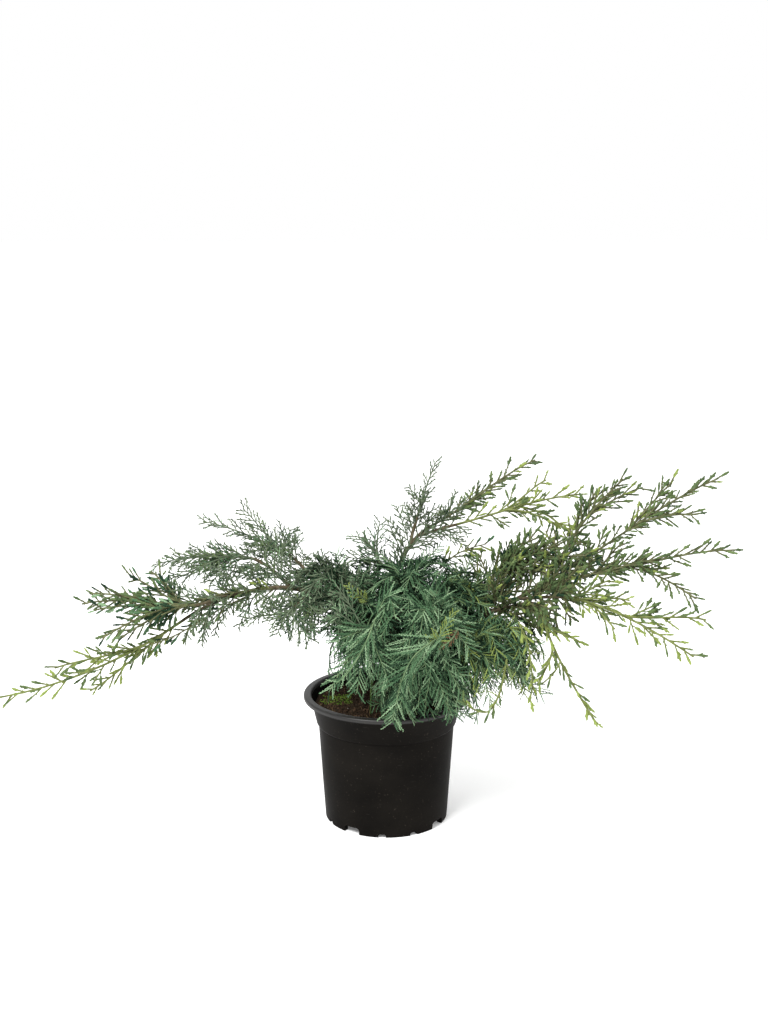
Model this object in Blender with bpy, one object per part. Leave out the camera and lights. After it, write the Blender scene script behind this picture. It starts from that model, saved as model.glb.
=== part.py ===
"""A spreading juniper shrub in its round nursery pot.

Metres, +Z up. +X is the plant's right and +Y its back. The origin is on the pot's axis,
at the flat underside of the pot.
"""

import math
import random

import bmesh
import bpy
from mathutils import Vector
from mathutils.bvhtree import BVHTree

MM = 0.001
GAP = 0.3 * MM  # left between pieces that touch

# Pot
ROUND_SIDES = 36
POT_HEIGHT = 148 * MM
RIM_R = 95 * MM
LIP_WIDTH = 8.6 * MM
LIP_HEIGHT = 6 * MM
LIP_ROUND = 1.5 * MM
STEP_Z = 115.5 * MM  # the ledge that the next pot in a stack hangs on
STEP_HEIGHT = 3 * MM
COLLAR_FOOT_R = 80.5 * MM
BODY_TOP_R = 78 * MM
BASE_R = 70.6 * MM
WALL = 1.5 * MM
FLOOR_Z = 9 * MM
FLOOR_THICK = 2 * MM
FOOT_WIDTH = 6.6 * MM
CENTRE_FOOT_R = 12 * MM
NOTCHES = 12
WIDE_NOTCH_EVERY = 3
FIRST_WIDE_NOTCH_DEG = -34  # from the front, towards the plant's right
NARROW_NOTCH = (9 * MM, 4 * MM)  # width and height
WIDE_NOTCH = (20 * MM, 8 * MM)

# Potting soil
SOIL_TOP = 136.5 * MM
SOIL_EDGE = 133.5 * MM
SOIL_FLAT_R = 32 * MM

# Trunk
TRUNK_SIDES = 10
TRUNK_TOP = Vector((6, 4, 212)) * MM
TRUNK_R = 9 * MM
FORK_R = 7 * MM
FLARE_R = 17 * MM
FLARE_HEIGHT = 14 * MM
FLARE_LOBES = 5
FLARE_LOBE_SHARE = 0.14
TRUNK_RINGS = 7

# Boughs
BOUGH_SIDES = 6
BOUGH_STEP = 31 * MM  # length of one straight facet along a bough
STEM_R = 1.6 * MM  # where a bough ends and its foliage begins

# Foliage
SHOOT_SIDES = 3
SHOOT_STEP = 40 * MM
SHOOT_TIP_R = 0.45 * MM
SHOOT_LIFT = 0.06  # how far a shoot arches over on its way to its tip, as a share of its reach
SPRAY_CLEAR = 0.8 * MM  # between sprays, and from a spray to a limb
SPRAY_RIB = 0.9 * MM  # half the width of a spray's rib at its root
SPRAY_THICK = 0.8 * MM  # half its thickness there
SPRAY_TAPER = 0.5
SPRAY_NECK = 4 * MM
SPRAY_LEAN_DEG = (34, 48)
SPRAY_SPAN = (0.16, 0.96)  # shares of the shoot between which its sprays stand
SPRAY_FALL = 0.62  # how much shorter they are at its tip than at its root
SPRAY_DROOP = (-0.12, 0.05)
TOOTH_STEP = 8 * MM
TOOTH_LEAN_DEG = 33
TOOTH_SHARE = 0.44  # of the spray's length, for its longest tooth
TOOTH_FALL = 0.62  # how much shorter the last tooth is than the first
TRIES = 6

# A dense mass has a shaggy core along each of its shoots, which the sprays stand out of
CORE_SIDES = 6
CORE_RINGS = 4
CORE_SPAN = (0.16, 0.94)  # shares of the shoot
CORE_JAG = (0.6, 1.3)  # by turns from point to point
CORE_SWEEP = 0.9
CORE_SHRINK = 0.92
CORE_TRIES = 16
SPRAY_TURNS_DEG = (0, 180, 50, 130)  # round a dense shoot, one after the other

DARK_PLASTIC = (0.022, 0.020, 0.018)
SOIL_BROWN = (0.060, 0.036, 0.022)
BARK_BROWN = (0.155, 0.085, 0.050)
BLUE_GREEN = (0.085, 0.165, 0.115)
GREY_GREEN = (0.120, 0.190, 0.110)
OLIVE_GREEN = (0.105, 0.170, 0.065)
YELLOW_GREEN = (0.270, 0.370, 0.095)


def mm(x, y, z):
    """A place or a stretch given in millimetres."""
    return Vector((x, y, z)) * MM


# Each bough: what it grows on, the share of that at which it leaves, how it sets out,
# where it ends, how it arrives there, and its radius at the root in millimetres.
BOUGHS = {
    "left_bough": ("trunk", 0.84, mm(-62, 0, 92), mm(-222, -76, 254), mm(-70, -22, -46), 4.0),
    "left_fore_bough": ("left_bough", 0.74, mm(-8, -12, 8), mm(-205, -92, 277), mm(-14, -6, 2), 2.4),
    "left_upper_bough": ("left_bough", 0.50, mm(-10, 8, 8), mm(-153, 0, 306), mm(-18, 4, 3), 2.4),
    "left_top_bough": ("left_bough", 0.36, mm(-6, 14, 10), mm(-112, 34, 301), mm(-14, 10, 6), 2.4),
    "left_under_bough": ("left_bough", 0.42, mm(-4, -16, 0), mm(-100, -62, 266), mm(-10, -14, -6), 2.2),
    "rear_bough": ("trunk", 0.86, mm(-8, 46, 66), mm(54, 100, 321), mm(30, 26, 9), 3.9),
    "rear_side_bough": ("rear_bough", 0.82, mm(8, -2, 2), mm(84, 90, 325), mm(16, -3, 5), 2.2),
    "rear_upright_bough": ("rear_bough", 0.70, mm(0, 3, 10), mm(38, 92, 338), mm(3, 4, 12), 2.2),
    "rear_inner_bough": ("rear_bough", 0.44, mm(-6, 6, 6), mm(-10, 52, 291), mm(-3, 10, 6), 2.2),
    "right_bough": ("trunk", 0.73, mm(56, -6, 20), mm(190, -20, 290), mm(46, -4, 30), 4.3),
    "right_top_bough": ("right_bough", 0.90, mm(4, 8, 8), mm(206, 8, 320), mm(8, 4, 14), 2.3),
    "right_outer_bough": ("right_bough", 0.86, mm(10, -10, 3), mm(216, -50, 298), mm(18, -12, 6), 2.3),
    "right_hanging_bough": ("right_bough", 0.74, mm(8, -14, 2), mm(192, -76, 281), mm(18, -16, 2), 2.3),
    "right_trailing_bough": ("right_bough", 0.58, mm(8, -16, 6), mm(164, -94, 274), mm(2, -10, -12), 2.3),
    "right_inner_bough": ("right_bough", 0.50, mm(4, 10, 10), mm(118, 22, 275), mm(10, 6, 12), 2.3),
    "low_right_bough": ("trunk", 0.50, mm(22, -16, 10), mm(84, -74, 226), mm(18, -16, -2), 3.0),
    "crown_bough": ("trunk", 1.00, mm(4, -4, 24), mm(24, 0, 264), mm(4, 2, 18), 3.2),
    "crown_left_bough": ("trunk", 0.64, mm(-22, -2, 22), mm(-38, -14, 250), mm(-10, -6, 12), 2.8),
    "crown_right_bough": ("trunk", 0.86, mm(28, -8, 16), mm(72, -6, 254), mm(14, 2, 10), 2.9),
    "front_bough": ("trunk", 0.78, mm(10, -22, 26), mm(52, -62, 262), mm(10, -18, 4), 2.9),
    "front_left_bough": ("trunk", 0.60, mm(-6, -24, 22), mm(-14, -62, 244), mm(-6, -14, 4), 2.8),
    "front_right_bough": ("trunk", 0.30, mm(12, -20, 12), mm(34, -68, 215), mm(8, -18, 4), 2.7),
    "back_left_bough": ("trunk", 0.64, mm(-18, 24, 16), mm(-48, 82, 236), mm(-12, 20, 6), 3.0),
    "back_right_bough": ("trunk", 0.68, mm(20, 24, 16), mm(62, 84, 234), mm(14, 20, 4), 3.0),
    "back_bough": ("trunk", 0.52, mm(2, 28, 10), mm(8, 96, 208), mm(2, 24, 2), 2.9),
}

# Each mass of foliage: the bough it grows on from, the way its sprays face, how long they
# are, how far apart, their colour, and the tips of its shoots with the share of the first
# shoot at which each further one leaves.
MASSES = {
    "left_tip_foliage": ("left_bough", (0, -0.75, 0.65), 40, 28, YELLOW_GREEN, (
        (0, mm(-424, -127, 184), -0.09), (0.06, mm(-322, -84, 178), -0.05),
        (0.20, mm(-346, -138, 222), 0.02))),
    "left_fore_foliage": ("left_fore_bough", (0.1, -0.7, 0.7), 40, 27, GREY_GREEN, (
        (0, mm(-335, -40, 264)), (0.10, mm(-297, -130, 252)), (0.22, mm(-318, -72, 284)))),
    "left_upper_foliage": ("left_upper_bough", (0.1, -0.6, 0.8), 40, 24, GREY_GREEN, (
        (0, mm(-264, 18, 294)), (0.12, mm(-206, -56, 306)), (0.08, mm(-238, -16, 284)))),
    "left_top_foliage": ("left_top_bough", (0.2, -0.7, 0.6), 40, 24, GREY_GREEN, (
        (0, mm(-212, 52, 337)), (0.10, mm(-167, 62, 350)), (0.05, mm(-112, 74, 322)),
        (0.05, mm(-160, 4, 312)))),
    "left_under_foliage": ("left_under_bough", (0, -0.9, 0.4), 38, 21, BLUE_GREEN, (
        (0, mm(-152, -98, 262)), (0.08, mm(-116, -112, 250)), (0.05, mm(-82, -102, 240)))),
    "rear_tip_foliage": ("rear_bough", (-0.2, -0.8, 0.5), 40, 23, OLIVE_GREEN, (
        (0, mm(182, 160, 390)), (0.20, mm(150, 176, 366)))),
    "rear_side_foliage": ("rear_side_bough", (-0.1, -0.75, 0.6), 38, 27, YELLOW_GREEN, (
        (0, mm(228, 62, 367)), (0.35, mm(190, 108, 375)), (0.40, mm(214, 30, 327)))),
    "rear_upright_foliage": ("rear_upright_bough", (-0.2, -0.9, 0.2), 34, 17, OLIVE_GREEN, (
        (0, mm(60, 120, 396)), (0.15, mm(26, 112, 366)))),
    "rear_inner_foliage": ("rear_inner_bough", (-0.1, -0.8, 0.5), 34, 17, BLUE_GREEN, (
        (0, mm(-8, 72, 333)), (0.10, mm(-36, 78, 314)))),
    "right_tip_foliage": ("right_bough", (-0.2, -0.8, 0.5), 44, 26, OLIVE_GREEN, (
        (0, mm(356, -50, 406)), (0.42, mm(315, -12, 394)), (0.50, mm(330, -74, 372)))),
    "right_top_foliage": ("right_top_bough", (-0.2, -0.9, 0.3), 36, 20, OLIVE_GREEN, (
        (0, mm(264, 2, 396)), (0.12, mm(238, 26, 378)), (0.35, mm(290, 34, 380)))),
    "right_outer_foliage": ("right_outer_bough", (-0.1, -0.7, 0.7), 42, 23, OLIVE_GREEN, (
        (0, mm(360, -112, 342)), (0.30, mm(318, -142, 298)))),
    "right_hanging_foliage": ("right_hanging_bough", (0, -0.85, 0.5), 40, 24, YELLOW_GREEN, (
        (0, mm(312, -172, 245)), (0.18, mm(240, -118, 258)), (0.45, mm(326, -158, 280)))),
    "right_trailing_foliage": ("right_trailing_bough", (0, -1, 0.1), 34, 22, YELLOW_GREEN, (
        (0, mm(222, -132, 158), -0.06), (0.12, mm(206, -108, 240)), (0.30, mm(160, -128, 200)))),
    "right_inner_foliage": ("right_inner_bough", (-0.1, -0.8, 0.5), 38, 20, BLUE_GREEN, (
        (0, mm(188, 14, 322)), (0.05, mm(146, 2, 302)), (0.10, mm(166, 40, 318)))),
    "low_right_foliage": ("low_right_bough", (0.1, -0.95, 0.3), 38, 30, BLUE_GREEN, (
        (0, mm(166, -120, 186)), (0.06, mm(112, -120, 176)), (0.10, mm(160, -100, 232)),
        (0.04, mm(126, -108, 206)))),
    "crown_top_foliage": ("crown_bough", (-0.1, -0.6, 0.8), 44, 31, BLUE_GREEN, (
        (0, mm(62, 42, 311)), (0.05, mm(-6, 30, 303)), (0.05, mm(50, -36, 294)),
        (0.04, mm(4, -26, 284)))),
    "crown_left_foliage": ("crown_left_bough", (-0.2, -0.7, 0.7), 42, 31, BLUE_GREEN, (
        (0, mm(-56, 26, 306)), (0.05, mm(-86, -30, 268)), (0.05, mm(-66, -58, 240)),
        (0.04, mm(-10, -62, 266)))),
    "crown_right_foliage": ("crown_right_bough", (0.1, -0.7, 0.7), 42, 31, BLUE_GREEN, (
        (0, mm(128, -4, 294)), (0.05, mm(98, 34, 300)), (0.05, mm(112, -50, 262)),
        (0.04, mm(80, -58, 272)))),
    "front_foliage": ("front_bough", (0, -1, 0.3), 44, 30, BLUE_GREEN, (
        (0, mm(7, -114, 143)), (0.04, mm(88, -104, 232)), (0.03, mm(14, -96, 232)),
        (0.03, mm(34, -94, 272)))),
    "front_left_foliage": ("front_left_bough", (-0.1, -0.95, 0.3), 42, 33, BLUE_GREEN, (
        (0, mm(-70, -96, 177)), (0.05, mm(2, -108, 196)), (0.05, mm(-32, -108, 184)),
        (0.04, mm(-54, -92, 236)))),
    "front_right_foliage": ("front_right_bough", (0.1, -1, 0.2), 38, 28, BLUE_GREEN, (
        (0, mm(70, -108, 160)), (0.08, mm(34, -112, 168)), (0.06, mm(84, -102, 200)))),
    "back_left_foliage": ("back_left_bough", (-0.2, 0.7, 0.7), 46, 37, BLUE_GREEN, (
        (0, mm(-112, 176, 226)), (0.05, mm(-58, 170, 250)), (0.05, mm(-110, 84, 226)))),
    "back_right_foliage": ("back_right_bough", (0.2, 0.7, 0.7), 46, 37, BLUE_GREEN, (
        (0, mm(152, 180, 222)), (0.05, mm(96, 170, 252)), (0.05, mm(140, 84, 222)))),
    "back_foliage": ("back_bough", (0, 0.8, 0.6), 44, 31, BLUE_GREEN, (
        (0, mm(22, 204, 196)), (0.05, mm(-44, 160, 186)), (0.05, mm(66, 164, 186)))),
}

# Half the width and half the thickness of the cores of each dense mass, in millimetres.
CORES = {
    "crown_top_foliage": (15, 9),
    "crown_left_foliage": (13, 8),
    "crown_right_foliage": (13, 8),
    "front_foliage": (14, 7),
    "front_left_foliage": (13, 7),
    "front_right_foliage": (12, 6),
    "low_right_foliage": (11, 7),
    "back_left_foliage": (14, 8),
    "back_right_foliage": (14, 8),
}


def clear_scene():
    for obj in list(bpy.data.objects):
        bpy.data.objects.remove(obj, do_unlink=True)


def finish(name, colour, roughness):
    """A plain material for one piece."""
    material = bpy.data.materials.new(name)
    material.use_nodes = True
    shader = material.node_tree.nodes["Principled BSDF"]
    shader.inputs["Base Color"].default_value = (*colour, 1)
    shader.inputs["Roughness"].default_value = roughness
    shader.inputs["Metallic"].default_value = 0
    return material


def add_object(name, verts, faces, material=None):
    mesh = bpy.data.meshes.new(name)
    mesh.from_pydata([tuple(v) for v in verts], [], faces)
    mesh.validate()
    if material:
        mesh.materials.append(material)
    obj = bpy.data.objects.new(name, mesh)
    bpy.context.collection.objects.link(obj)
    return obj


def face_outwards(obj):
    bm = bmesh.new()
    bm.from_mesh(obj.data)
    bmesh.ops.recalc_face_normals(bm, faces=bm.faces)
    bm.to_mesh(obj.data)
    bm.free()


def remove(obj):
    mesh = obj.data
    bpy.data.objects.remove(obj, do_unlink=True)
    bpy.data.meshes.remove(mesh)


def apply_boolean(obj, operation, operand, solver="EXACT"):
    """Cut or join obj with an object or a collection, and keep the plain result."""
    modifier = obj.modifiers.new("join", "BOOLEAN")
    modifier.operation = operation
    modifier.solver = solver
    if isinstance(operand, bpy.types.Collection):
        modifier.operand_type = "COLLECTION"
        modifier.collection = operand
    else:
        modifier.object = operand
    graph = bpy.context.evaluated_depsgraph_get()
    result = bpy.data.meshes.new_from_object(obj.evaluated_get(graph))
    obj.modifiers.remove(modifier)
    old = obj.data
    obj.data = result
    bpy.data.meshes.remove(old)


def turned(name, profile, material, sides=ROUND_SIDES):
    """A solid of revolution about Z; the profile's first and last points are on the axis."""
    verts = [(0, 0, profile[0][1])]
    for r, z in profile[1:-1]:
        for i in range(sides):
            a = 2 * math.pi * i / sides
            verts.append((r * math.cos(a), r * math.sin(a), z))
    verts.append((0, 0, profile[-1][1]))
    last = len(verts) - 1
    rings = len(profile) - 2
    faces = []
    for i in range(sides):
        j = (i + 1) % sides
        faces.append((0, 1 + j, 1 + i))
        for k in range(rings - 1):
            low, high = 1 + k * sides, 1 + (k + 1) * sides
            faces.append((low + i, low + j, high + j, high + i))
        top = 1 + (rings - 1) * sides
        faces.append((top + i, top + j, last))
    obj = add_object(name, verts, faces, material)
    face_outwards(obj)
    return obj


def wall_radius(z):
    """Outer radius of the pot's body and collar at a height."""
    if z < STEP_Z - STEP_HEIGHT:
        return BASE_R + (BODY_TOP_R - BASE_R) * z / (STEP_Z - STEP_HEIGHT)
    share = (z - STEP_Z) / (POT_HEIGHT - LIP_HEIGHT - STEP_Z)
    return COLLAR_FOOT_R + (RIM_R - LIP_WIDTH - COLLAR_FOOT_R) * max(share, 0)


def make_pot():
    step_foot = STEP_Z - STEP_HEIGHT
    lip_z = POT_HEIGHT - LIP_HEIGHT
    floor_top = FLOOR_Z + FLOOR_THICK
    mouth_r = RIM_R - LIP_WIDTH
    profile = [
        (0, 0),
        (CENTRE_FOOT_R, 0),
        (CENTRE_FOOT_R, FLOOR_Z),
        (BASE_R - FOOT_WIDTH, FLOOR_Z),
        (BASE_R - FOOT_WIDTH, 0),
        (BASE_R, 0),
        (BODY_TOP_R, step_foot),
        (COLLAR_FOOT_R, STEP_Z),
        (mouth_r, lip_z),
        (RIM_R - LIP_ROUND, lip_z),
        (RIM_R, lip_z + LIP_ROUND),
        (RIM_R, POT_HEIGHT - LIP_ROUND),
        (RIM_R - LIP_ROUND, POT_HEIGHT),
        (mouth_r + LIP_ROUND, POT_HEIGHT),
        (mouth_r, POT_HEIGHT - LIP_ROUND),
        (COLLAR_FOOT_R - WALL, STEP_Z),
        (BODY_TOP_R - WALL, step_foot),
        (wall_radius(floor_top) - WALL, floor_top),
        (0, floor_top),
    ]
    pot = turned("pot", profile, finish("dark_plastic", DARK_PLASTIC, 0.5))
    cutters = bpy.data.collections.new("notch_cutters")
    for i in range(NOTCHES):
        width, height = WIDE_NOTCH if i % WIDE_NOTCH_EVERY == 0 else NARROW_NOTCH
        turn = math.radians(FIRST_WIDE_NOTCH_DEG + i * 360 / NOTCHES)
        out = Vector((math.sin(turn), -math.cos(turn), 0))
        cutters.objects.link(block(out, width, height))
    apply_boolean(pot, "DIFFERENCE", cutters)
    for obj in list(cutters.objects):
        remove(obj)
    bpy.data.collections.remove(cutters)
    pot.data.shade_smooth()
    pot.data.set_sharp_from_angle(angle=math.radians(35))
    return pot


def block(out, width, height):
    """A box through the pot's foot, facing along out."""
    across = Vector((-out.y, out.x, 0))
    near, far = BASE_R - 2 * FOOT_WIDTH, BASE_R + FOOT_WIDTH
    low, high = -FOOT_WIDTH, height
    verts = [
        out * r + across * (side * width / 2) + Vector((0, 0, z))
        for z in (low, high)
        for r, side in ((near, -1), (far, -1), (far, 1), (near, 1))
    ]
    faces = [(3, 2, 1, 0), (4, 5, 6, 7)]
    faces += [(i, (i + 1) % 4, 4 + (i + 1) % 4, 4 + i) for i in range(4)]
    obj = add_object("notch_cutter", verts, faces)
    bpy.context.collection.objects.unlink(obj)
    face_outwards(obj)
    return obj


def make_soil():
    slack = GAP / math.cos(math.pi / ROUND_SIDES)
    floor = FLOOR_Z + FLOOR_THICK + GAP
    step_foot = STEP_Z - STEP_HEIGHT
    profile = [
        (0, floor),
        (wall_radius(floor) - WALL - slack, floor),
        (BODY_TOP_R - WALL - slack, step_foot),
        (COLLAR_FOOT_R - WALL - slack, STEP_Z),
        (wall_radius(SOIL_EDGE) - WALL - slack, SOIL_EDGE),
        (SOIL_FLAT_R, SOIL_TOP),
        (0, SOIL_TOP),
    ]
    return turned("potting_soil", profile, finish("potting_soil", SOIL_BROWN, 0.95))


def bezier(points, t):
    a, b, c, d = points
    s = 1 - t
    return a * s ** 3 + b * (3 * s * s * t) + c * (3 * s * t * t) + d * t ** 3


def slope(points, t):
    a, b, c, d = points
    s = 1 - t
    return ((b - a) * (s * s) + (c - b) * (2 * s * t) + (d - c) * (t * t)).normalized()


def length_of(points, steps=24):
    places = [bezier(points, i / steps) for i in range(steps + 1)]
    return sum((q - p).length for p, q in zip(places, places[1:]))


def frame_along(directions):
    """Side vectors that turn as little as they can from one direction to the next."""
    side = directions[0].orthogonal().normalized()
    sides = []
    for d in directions:
        side = (side - d * side.dot(d)).normalized()
        sides.append(side)
    return sides


def tube(path, radii, directions, sides, pointed=False):
    """A tapering limb with flat ends, or with a point at its tip."""
    verts = []
    spans = frame_along(directions)
    rings = len(path) - 1 if pointed else len(path)
    for place, r, d, side in zip(path[:rings], radii, directions, spans):
        up = d.cross(side)
        for i in range(sides):
            a = 2 * math.pi * i / sides
            verts.append(place + side * (r * math.cos(a)) + up * (r * math.sin(a)))
    faces = [tuple(reversed(range(sides)))]
    for k in range(rings - 1):
        low, high = k * sides, (k + 1) * sides
        for i in range(sides):
            j = (i + 1) % sides
            faces.append((low + i, low + j, high + j, high + i))
    top = (rings - 1) * sides
    if pointed:
        verts.append(path[-1])
        for i in range(sides):
            faces.append((top + i, top + (i + 1) % sides, len(verts) - 1))
    else:
        faces.append(tuple(range(top, top + sides)))
    return verts, faces


def limb_tube(points, root_r, tip_r, sides, step, swell=0.0, pointed=False):
    """A limb along a curve; swell thickens it to make the cutter that seats its neighbour."""
    count = facets(points, step)
    ts = [i / count for i in range(count + 1)]
    path = [bezier(points, t) for t in ts]
    directions = [slope(points, t) for t in ts]
    grow = swell / math.cos(math.pi / sides)
    radii = [root_r + (tip_r - root_r) * t ** 0.8 + grow for t in ts]
    return tube(path, radii, directions, sides, pointed)


def facets(points, step):
    """How many straight facets a limb of this shape has."""
    return max(2, round(length_of(points) / step))


def on_limb(points, share, step):
    """A place on the axis of the faceted limb, which lies a little inside the true curve."""
    count = facets(points, step)
    k = min(int(share * count), count - 1)
    near, far = bezier(points, k / count), bezier(points, (k + 1) / count)
    return near.lerp(far, share * count - k)


def trunk_curve():
    foot = Vector((0, 0, SOIL_TOP + GAP))
    rise = TRUNK_TOP - foot
    return foot, foot + Vector((0, 0, rise.z * 0.35)), TRUNK_TOP - rise * 0.35, TRUNK_TOP


def trunk_shape(swell=0.0):
    """Level rings with a lobed root flare, and a low rounded top."""
    points = trunk_curve()
    low = points[0].z
    verts = []
    for k in range(TRUNK_RINGS + 1):
        t = min((k / TRUNK_RINGS) ** 1.4, 1)
        centre = bezier(points, t)
        flare = max(0.0, 1 - (centre.z - low) / FLARE_HEIGHT) ** 2
        r = TRUNK_R + (FORK_R - TRUNK_R) * t + (FLARE_R - TRUNK_R) * flare
        for i in range(TRUNK_SIDES):
            a = 2 * math.pi * i / TRUNK_SIDES
            lobe = 1 + FLARE_LOBE_SHARE * flare * math.cos(FLARE_LOBES * a)
            reach = r * lobe + swell / math.cos(math.pi / TRUNK_SIDES)
            verts.append(centre + Vector((math.cos(a), math.sin(a), 0)) * reach)
    faces = [tuple(reversed(range(TRUNK_SIDES)))]
    for k in range(TRUNK_RINGS):
        a, b = k * TRUNK_SIDES, (k + 1) * TRUNK_SIDES
        for i in range(TRUNK_SIDES):
            j = (i + 1) % TRUNK_SIDES
            faces.append((a + i, a + j, b + j, b + i))
    crown = len(verts)
    verts.append(points[3] + Vector((0, 0, FORK_R * 0.5 + swell)))
    top = TRUNK_RINGS * TRUNK_SIDES
    for i in range(TRUNK_SIDES):
        faces.append((top + i, top + (i + 1) % TRUNK_SIDES, crown))
    return verts, faces


def tree_of(verts, faces):
    return BVHTree.FromPolygons(verts, faces)


class Room:
    """What already stands, so that a new spray can keep clear of it."""

    def __init__(self):
        self.taken = []

    def add(self, verts, faces, owner, core=False):
        low = [min(v[i] for v in verts) - SPRAY_CLEAR for i in range(3)]
        high = [max(v[i] for v in verts) + SPRAY_CLEAR for i in range(3)]
        self.taken.append((low, high, verts, tree_of(verts, faces), owner, core))

    def clear(self, verts, faces, owner, root=None, root_r=0.0):
        """True if the new shape is clear of the rest; its own twig is let near its root.

        Its own mass's cores don't count, and with no root nothing of its own mass does.
        """
        low = [min(v[i] for v in verts) for i in range(3)]
        high = [max(v[i] for v in verts) for i in range(3)]
        tree = None
        for lo, hi, others, other, whose, core in self.taken:
            if any(low[i] > hi[i] or high[i] < lo[i] for i in range(3)):
                continue
            own = whose == owner
            if own and (core or root is None):
                continue
            tree = tree or tree_of(verts, faces)
            for v in verts:
                if own and (v - root).length < root_r:
                    continue
                if other.find_nearest(v, SPRAY_CLEAR)[0] is not None:
                    return False
            for v in others:
                if own and (v - root).length < root_r:
                    continue
                if tree.find_nearest(v, SPRAY_CLEAR)[0] is not None:
                    return False
            if not own and tree.overlap(other):
                return False
        return True


def make_limbs(room):
    """The trunk and boughs; each bough's root is cut to stand clear of what bears it."""
    curves = {"trunk": trunk_curve()}
    shapes = {"trunk": trunk_shape}
    verts, faces = trunk_shape()
    trunk = add_object("trunk", verts, faces, finish("trunk_bark", BARK_BROWN, 0.85))
    trunk.data.shade_smooth()
    trunk.data.set_sharp_from_angle(angle=math.radians(50))
    room.add(verts, faces, "trunk")
    for name, (parent, share, out, tip, arrive, root_r) in BOUGHS.items():
        root = bezier(curves[parent], share)
        if parent != "trunk":
            root = on_limb(curves[parent], share, BOUGH_STEP)
        points = (root, root + out, tip - arrive, tip)
        curves[name] = points

        def shape(swell=0.0, points=points, root_r=root_r):
            return limb_tube(points, root_r * MM, STEM_R, BOUGH_SIDES, BOUGH_STEP, swell)

        shapes[name] = shape
        verts, faces = shape()
        bough = add_object(name, verts, faces, finish(name + "_bark", BARK_BROWN, 0.85))
        cutter = add_object("cutter", *shapes[parent](GAP))
        apply_boolean(bough, "DIFFERENCE", cutter)
        remove(cutter)
        keep_part_at(bough, tip)
        room.add([v.co.copy() for v in bough.data.vertices],
                 [tuple(p.vertices) for p in bough.data.polygons], name)
    return curves


def keep_part_at(obj, place):
    """Keep the part that reaches a place, and drop loose scraps that a cut or a union leaves."""
    bm = bmesh.new()
    bm.from_mesh(obj.data)
    near = min(bm.verts, key=lambda v: (v.co - place).length_squared)
    stack, kept = [near], {near}
    while stack:
        for edge in stack.pop().link_edges:
            for v in edge.verts:
                if v not in kept:
                    kept.add(v)
                    stack.append(v)
    bmesh.ops.delete(bm, geom=[v for v in bm.verts if v not in kept], context="VERTS")
    bm.to_mesh(obj.data)
    bm.free()


def spray(root, along, face, length, rng):
    """A toothed blade: a ridged tapering rib with slender teeth by turns on either side."""
    side = along.cross(face).normalized()
    face = side.cross(along).normalized()
    droop = face * rng.uniform(*SPRAY_DROOP)
    teeth = max(2, round((length - SPRAY_NECK) / TOOTH_STEP) - 1)
    lean = math.radians(TOOTH_LEAN_DEG)
    stations = [0.0, SPRAY_NECK]
    stations += [SPRAY_NECK + (i + 1) / (teeth + 1) * (length - SPRAY_NECK) for i in range(teeth)]
    verts = []
    centres = [root + along * s + droop * (s * s / length) for s in stations]
    for s, centre in zip(stations, centres):
        size = 1 - SPRAY_TAPER * s / length
        w, h = SPRAY_RIB * size, SPRAY_THICK * size
        verts += [centre + face * h, centre - side * w - face * h, centre + side * w - face * h]
    faces = [(2, 1, 0)]
    flanks = [(-1, 0, 1), (1, 2, 0)]
    if rng.random() < 0.5:
        flanks.reverse()
    for k in range(len(stations) - 1):
        a, b = 3 * k, 3 * (k + 1)
        faces.append((a + 1, a + 2, b + 2, b + 1))
        flanks.reverse()
        (sign, p, q), (_, u, v) = flanks
        faces.append((a + u, a + v, b + v, b + u))
        if k == 0:
            faces.append((a + p, a + q, b + q, b + p))
            continue
        tooth = TOOTH_SHARE * length * (1 - TOOTH_FALL * (k - 1) / teeth) * rng.uniform(0.85, 1.15)
        heading = along * math.cos(lean) + side * (sign * math.sin(lean))
        verts.append(centres[k] + heading * tooth + face * (rng.uniform(-0.12, 0.12) * tooth))
        apex = len(verts) - 1
        for i, j in ((a + p, a + q), (a + q, b + q), (b + q, b + p), (b + p, a + p)):
            faces.append((i, j, apex))
    verts.append(root + along * length + droop * length)
    a = 3 * (len(stations) - 1)
    faces += [(a + i, a + (i + 1) % 3, len(verts) - 1) for i in range(3)]
    return verts, faces


def shoot_curve(start, heading, tip, lift=SHOOT_LIFT):
    """A shoot that sets out along its heading and bends to its tip."""
    reach = (tip - start).length
    return (start, start + heading * (reach * 0.33),
            tip - (tip - start) * 0.30 + Vector((0, 0, lift * reach)), tip)


def set_shoots(name, plan, curves, room):
    """The shoots of one mass, and its core where it is dense."""
    bearer = curves[plan[0]]
    heading = slope(bearer, 1)
    start = bearer[3] + heading * GAP
    shoots = []
    pieces = []
    for share, tip, *lift in plan[5]:
        if shoots:
            first = shoots[0]
            start = on_limb(first, share, SHOOT_STEP)
            heading = (slope(first, share) + (tip - start).normalized()).normalized()
        points = shoot_curve(start, heading, tip, *lift)
        root_r = STEM_R if not shoots else STEM_R * 0.75
        pieces.append(limb_tube(points, root_r, SHOOT_TIP_R, SHOOT_SIDES, SHOOT_STEP, pointed=True))
        room.add(*pieces[-1], name)
        shoots.append(points)
    return shoots, pieces


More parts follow.
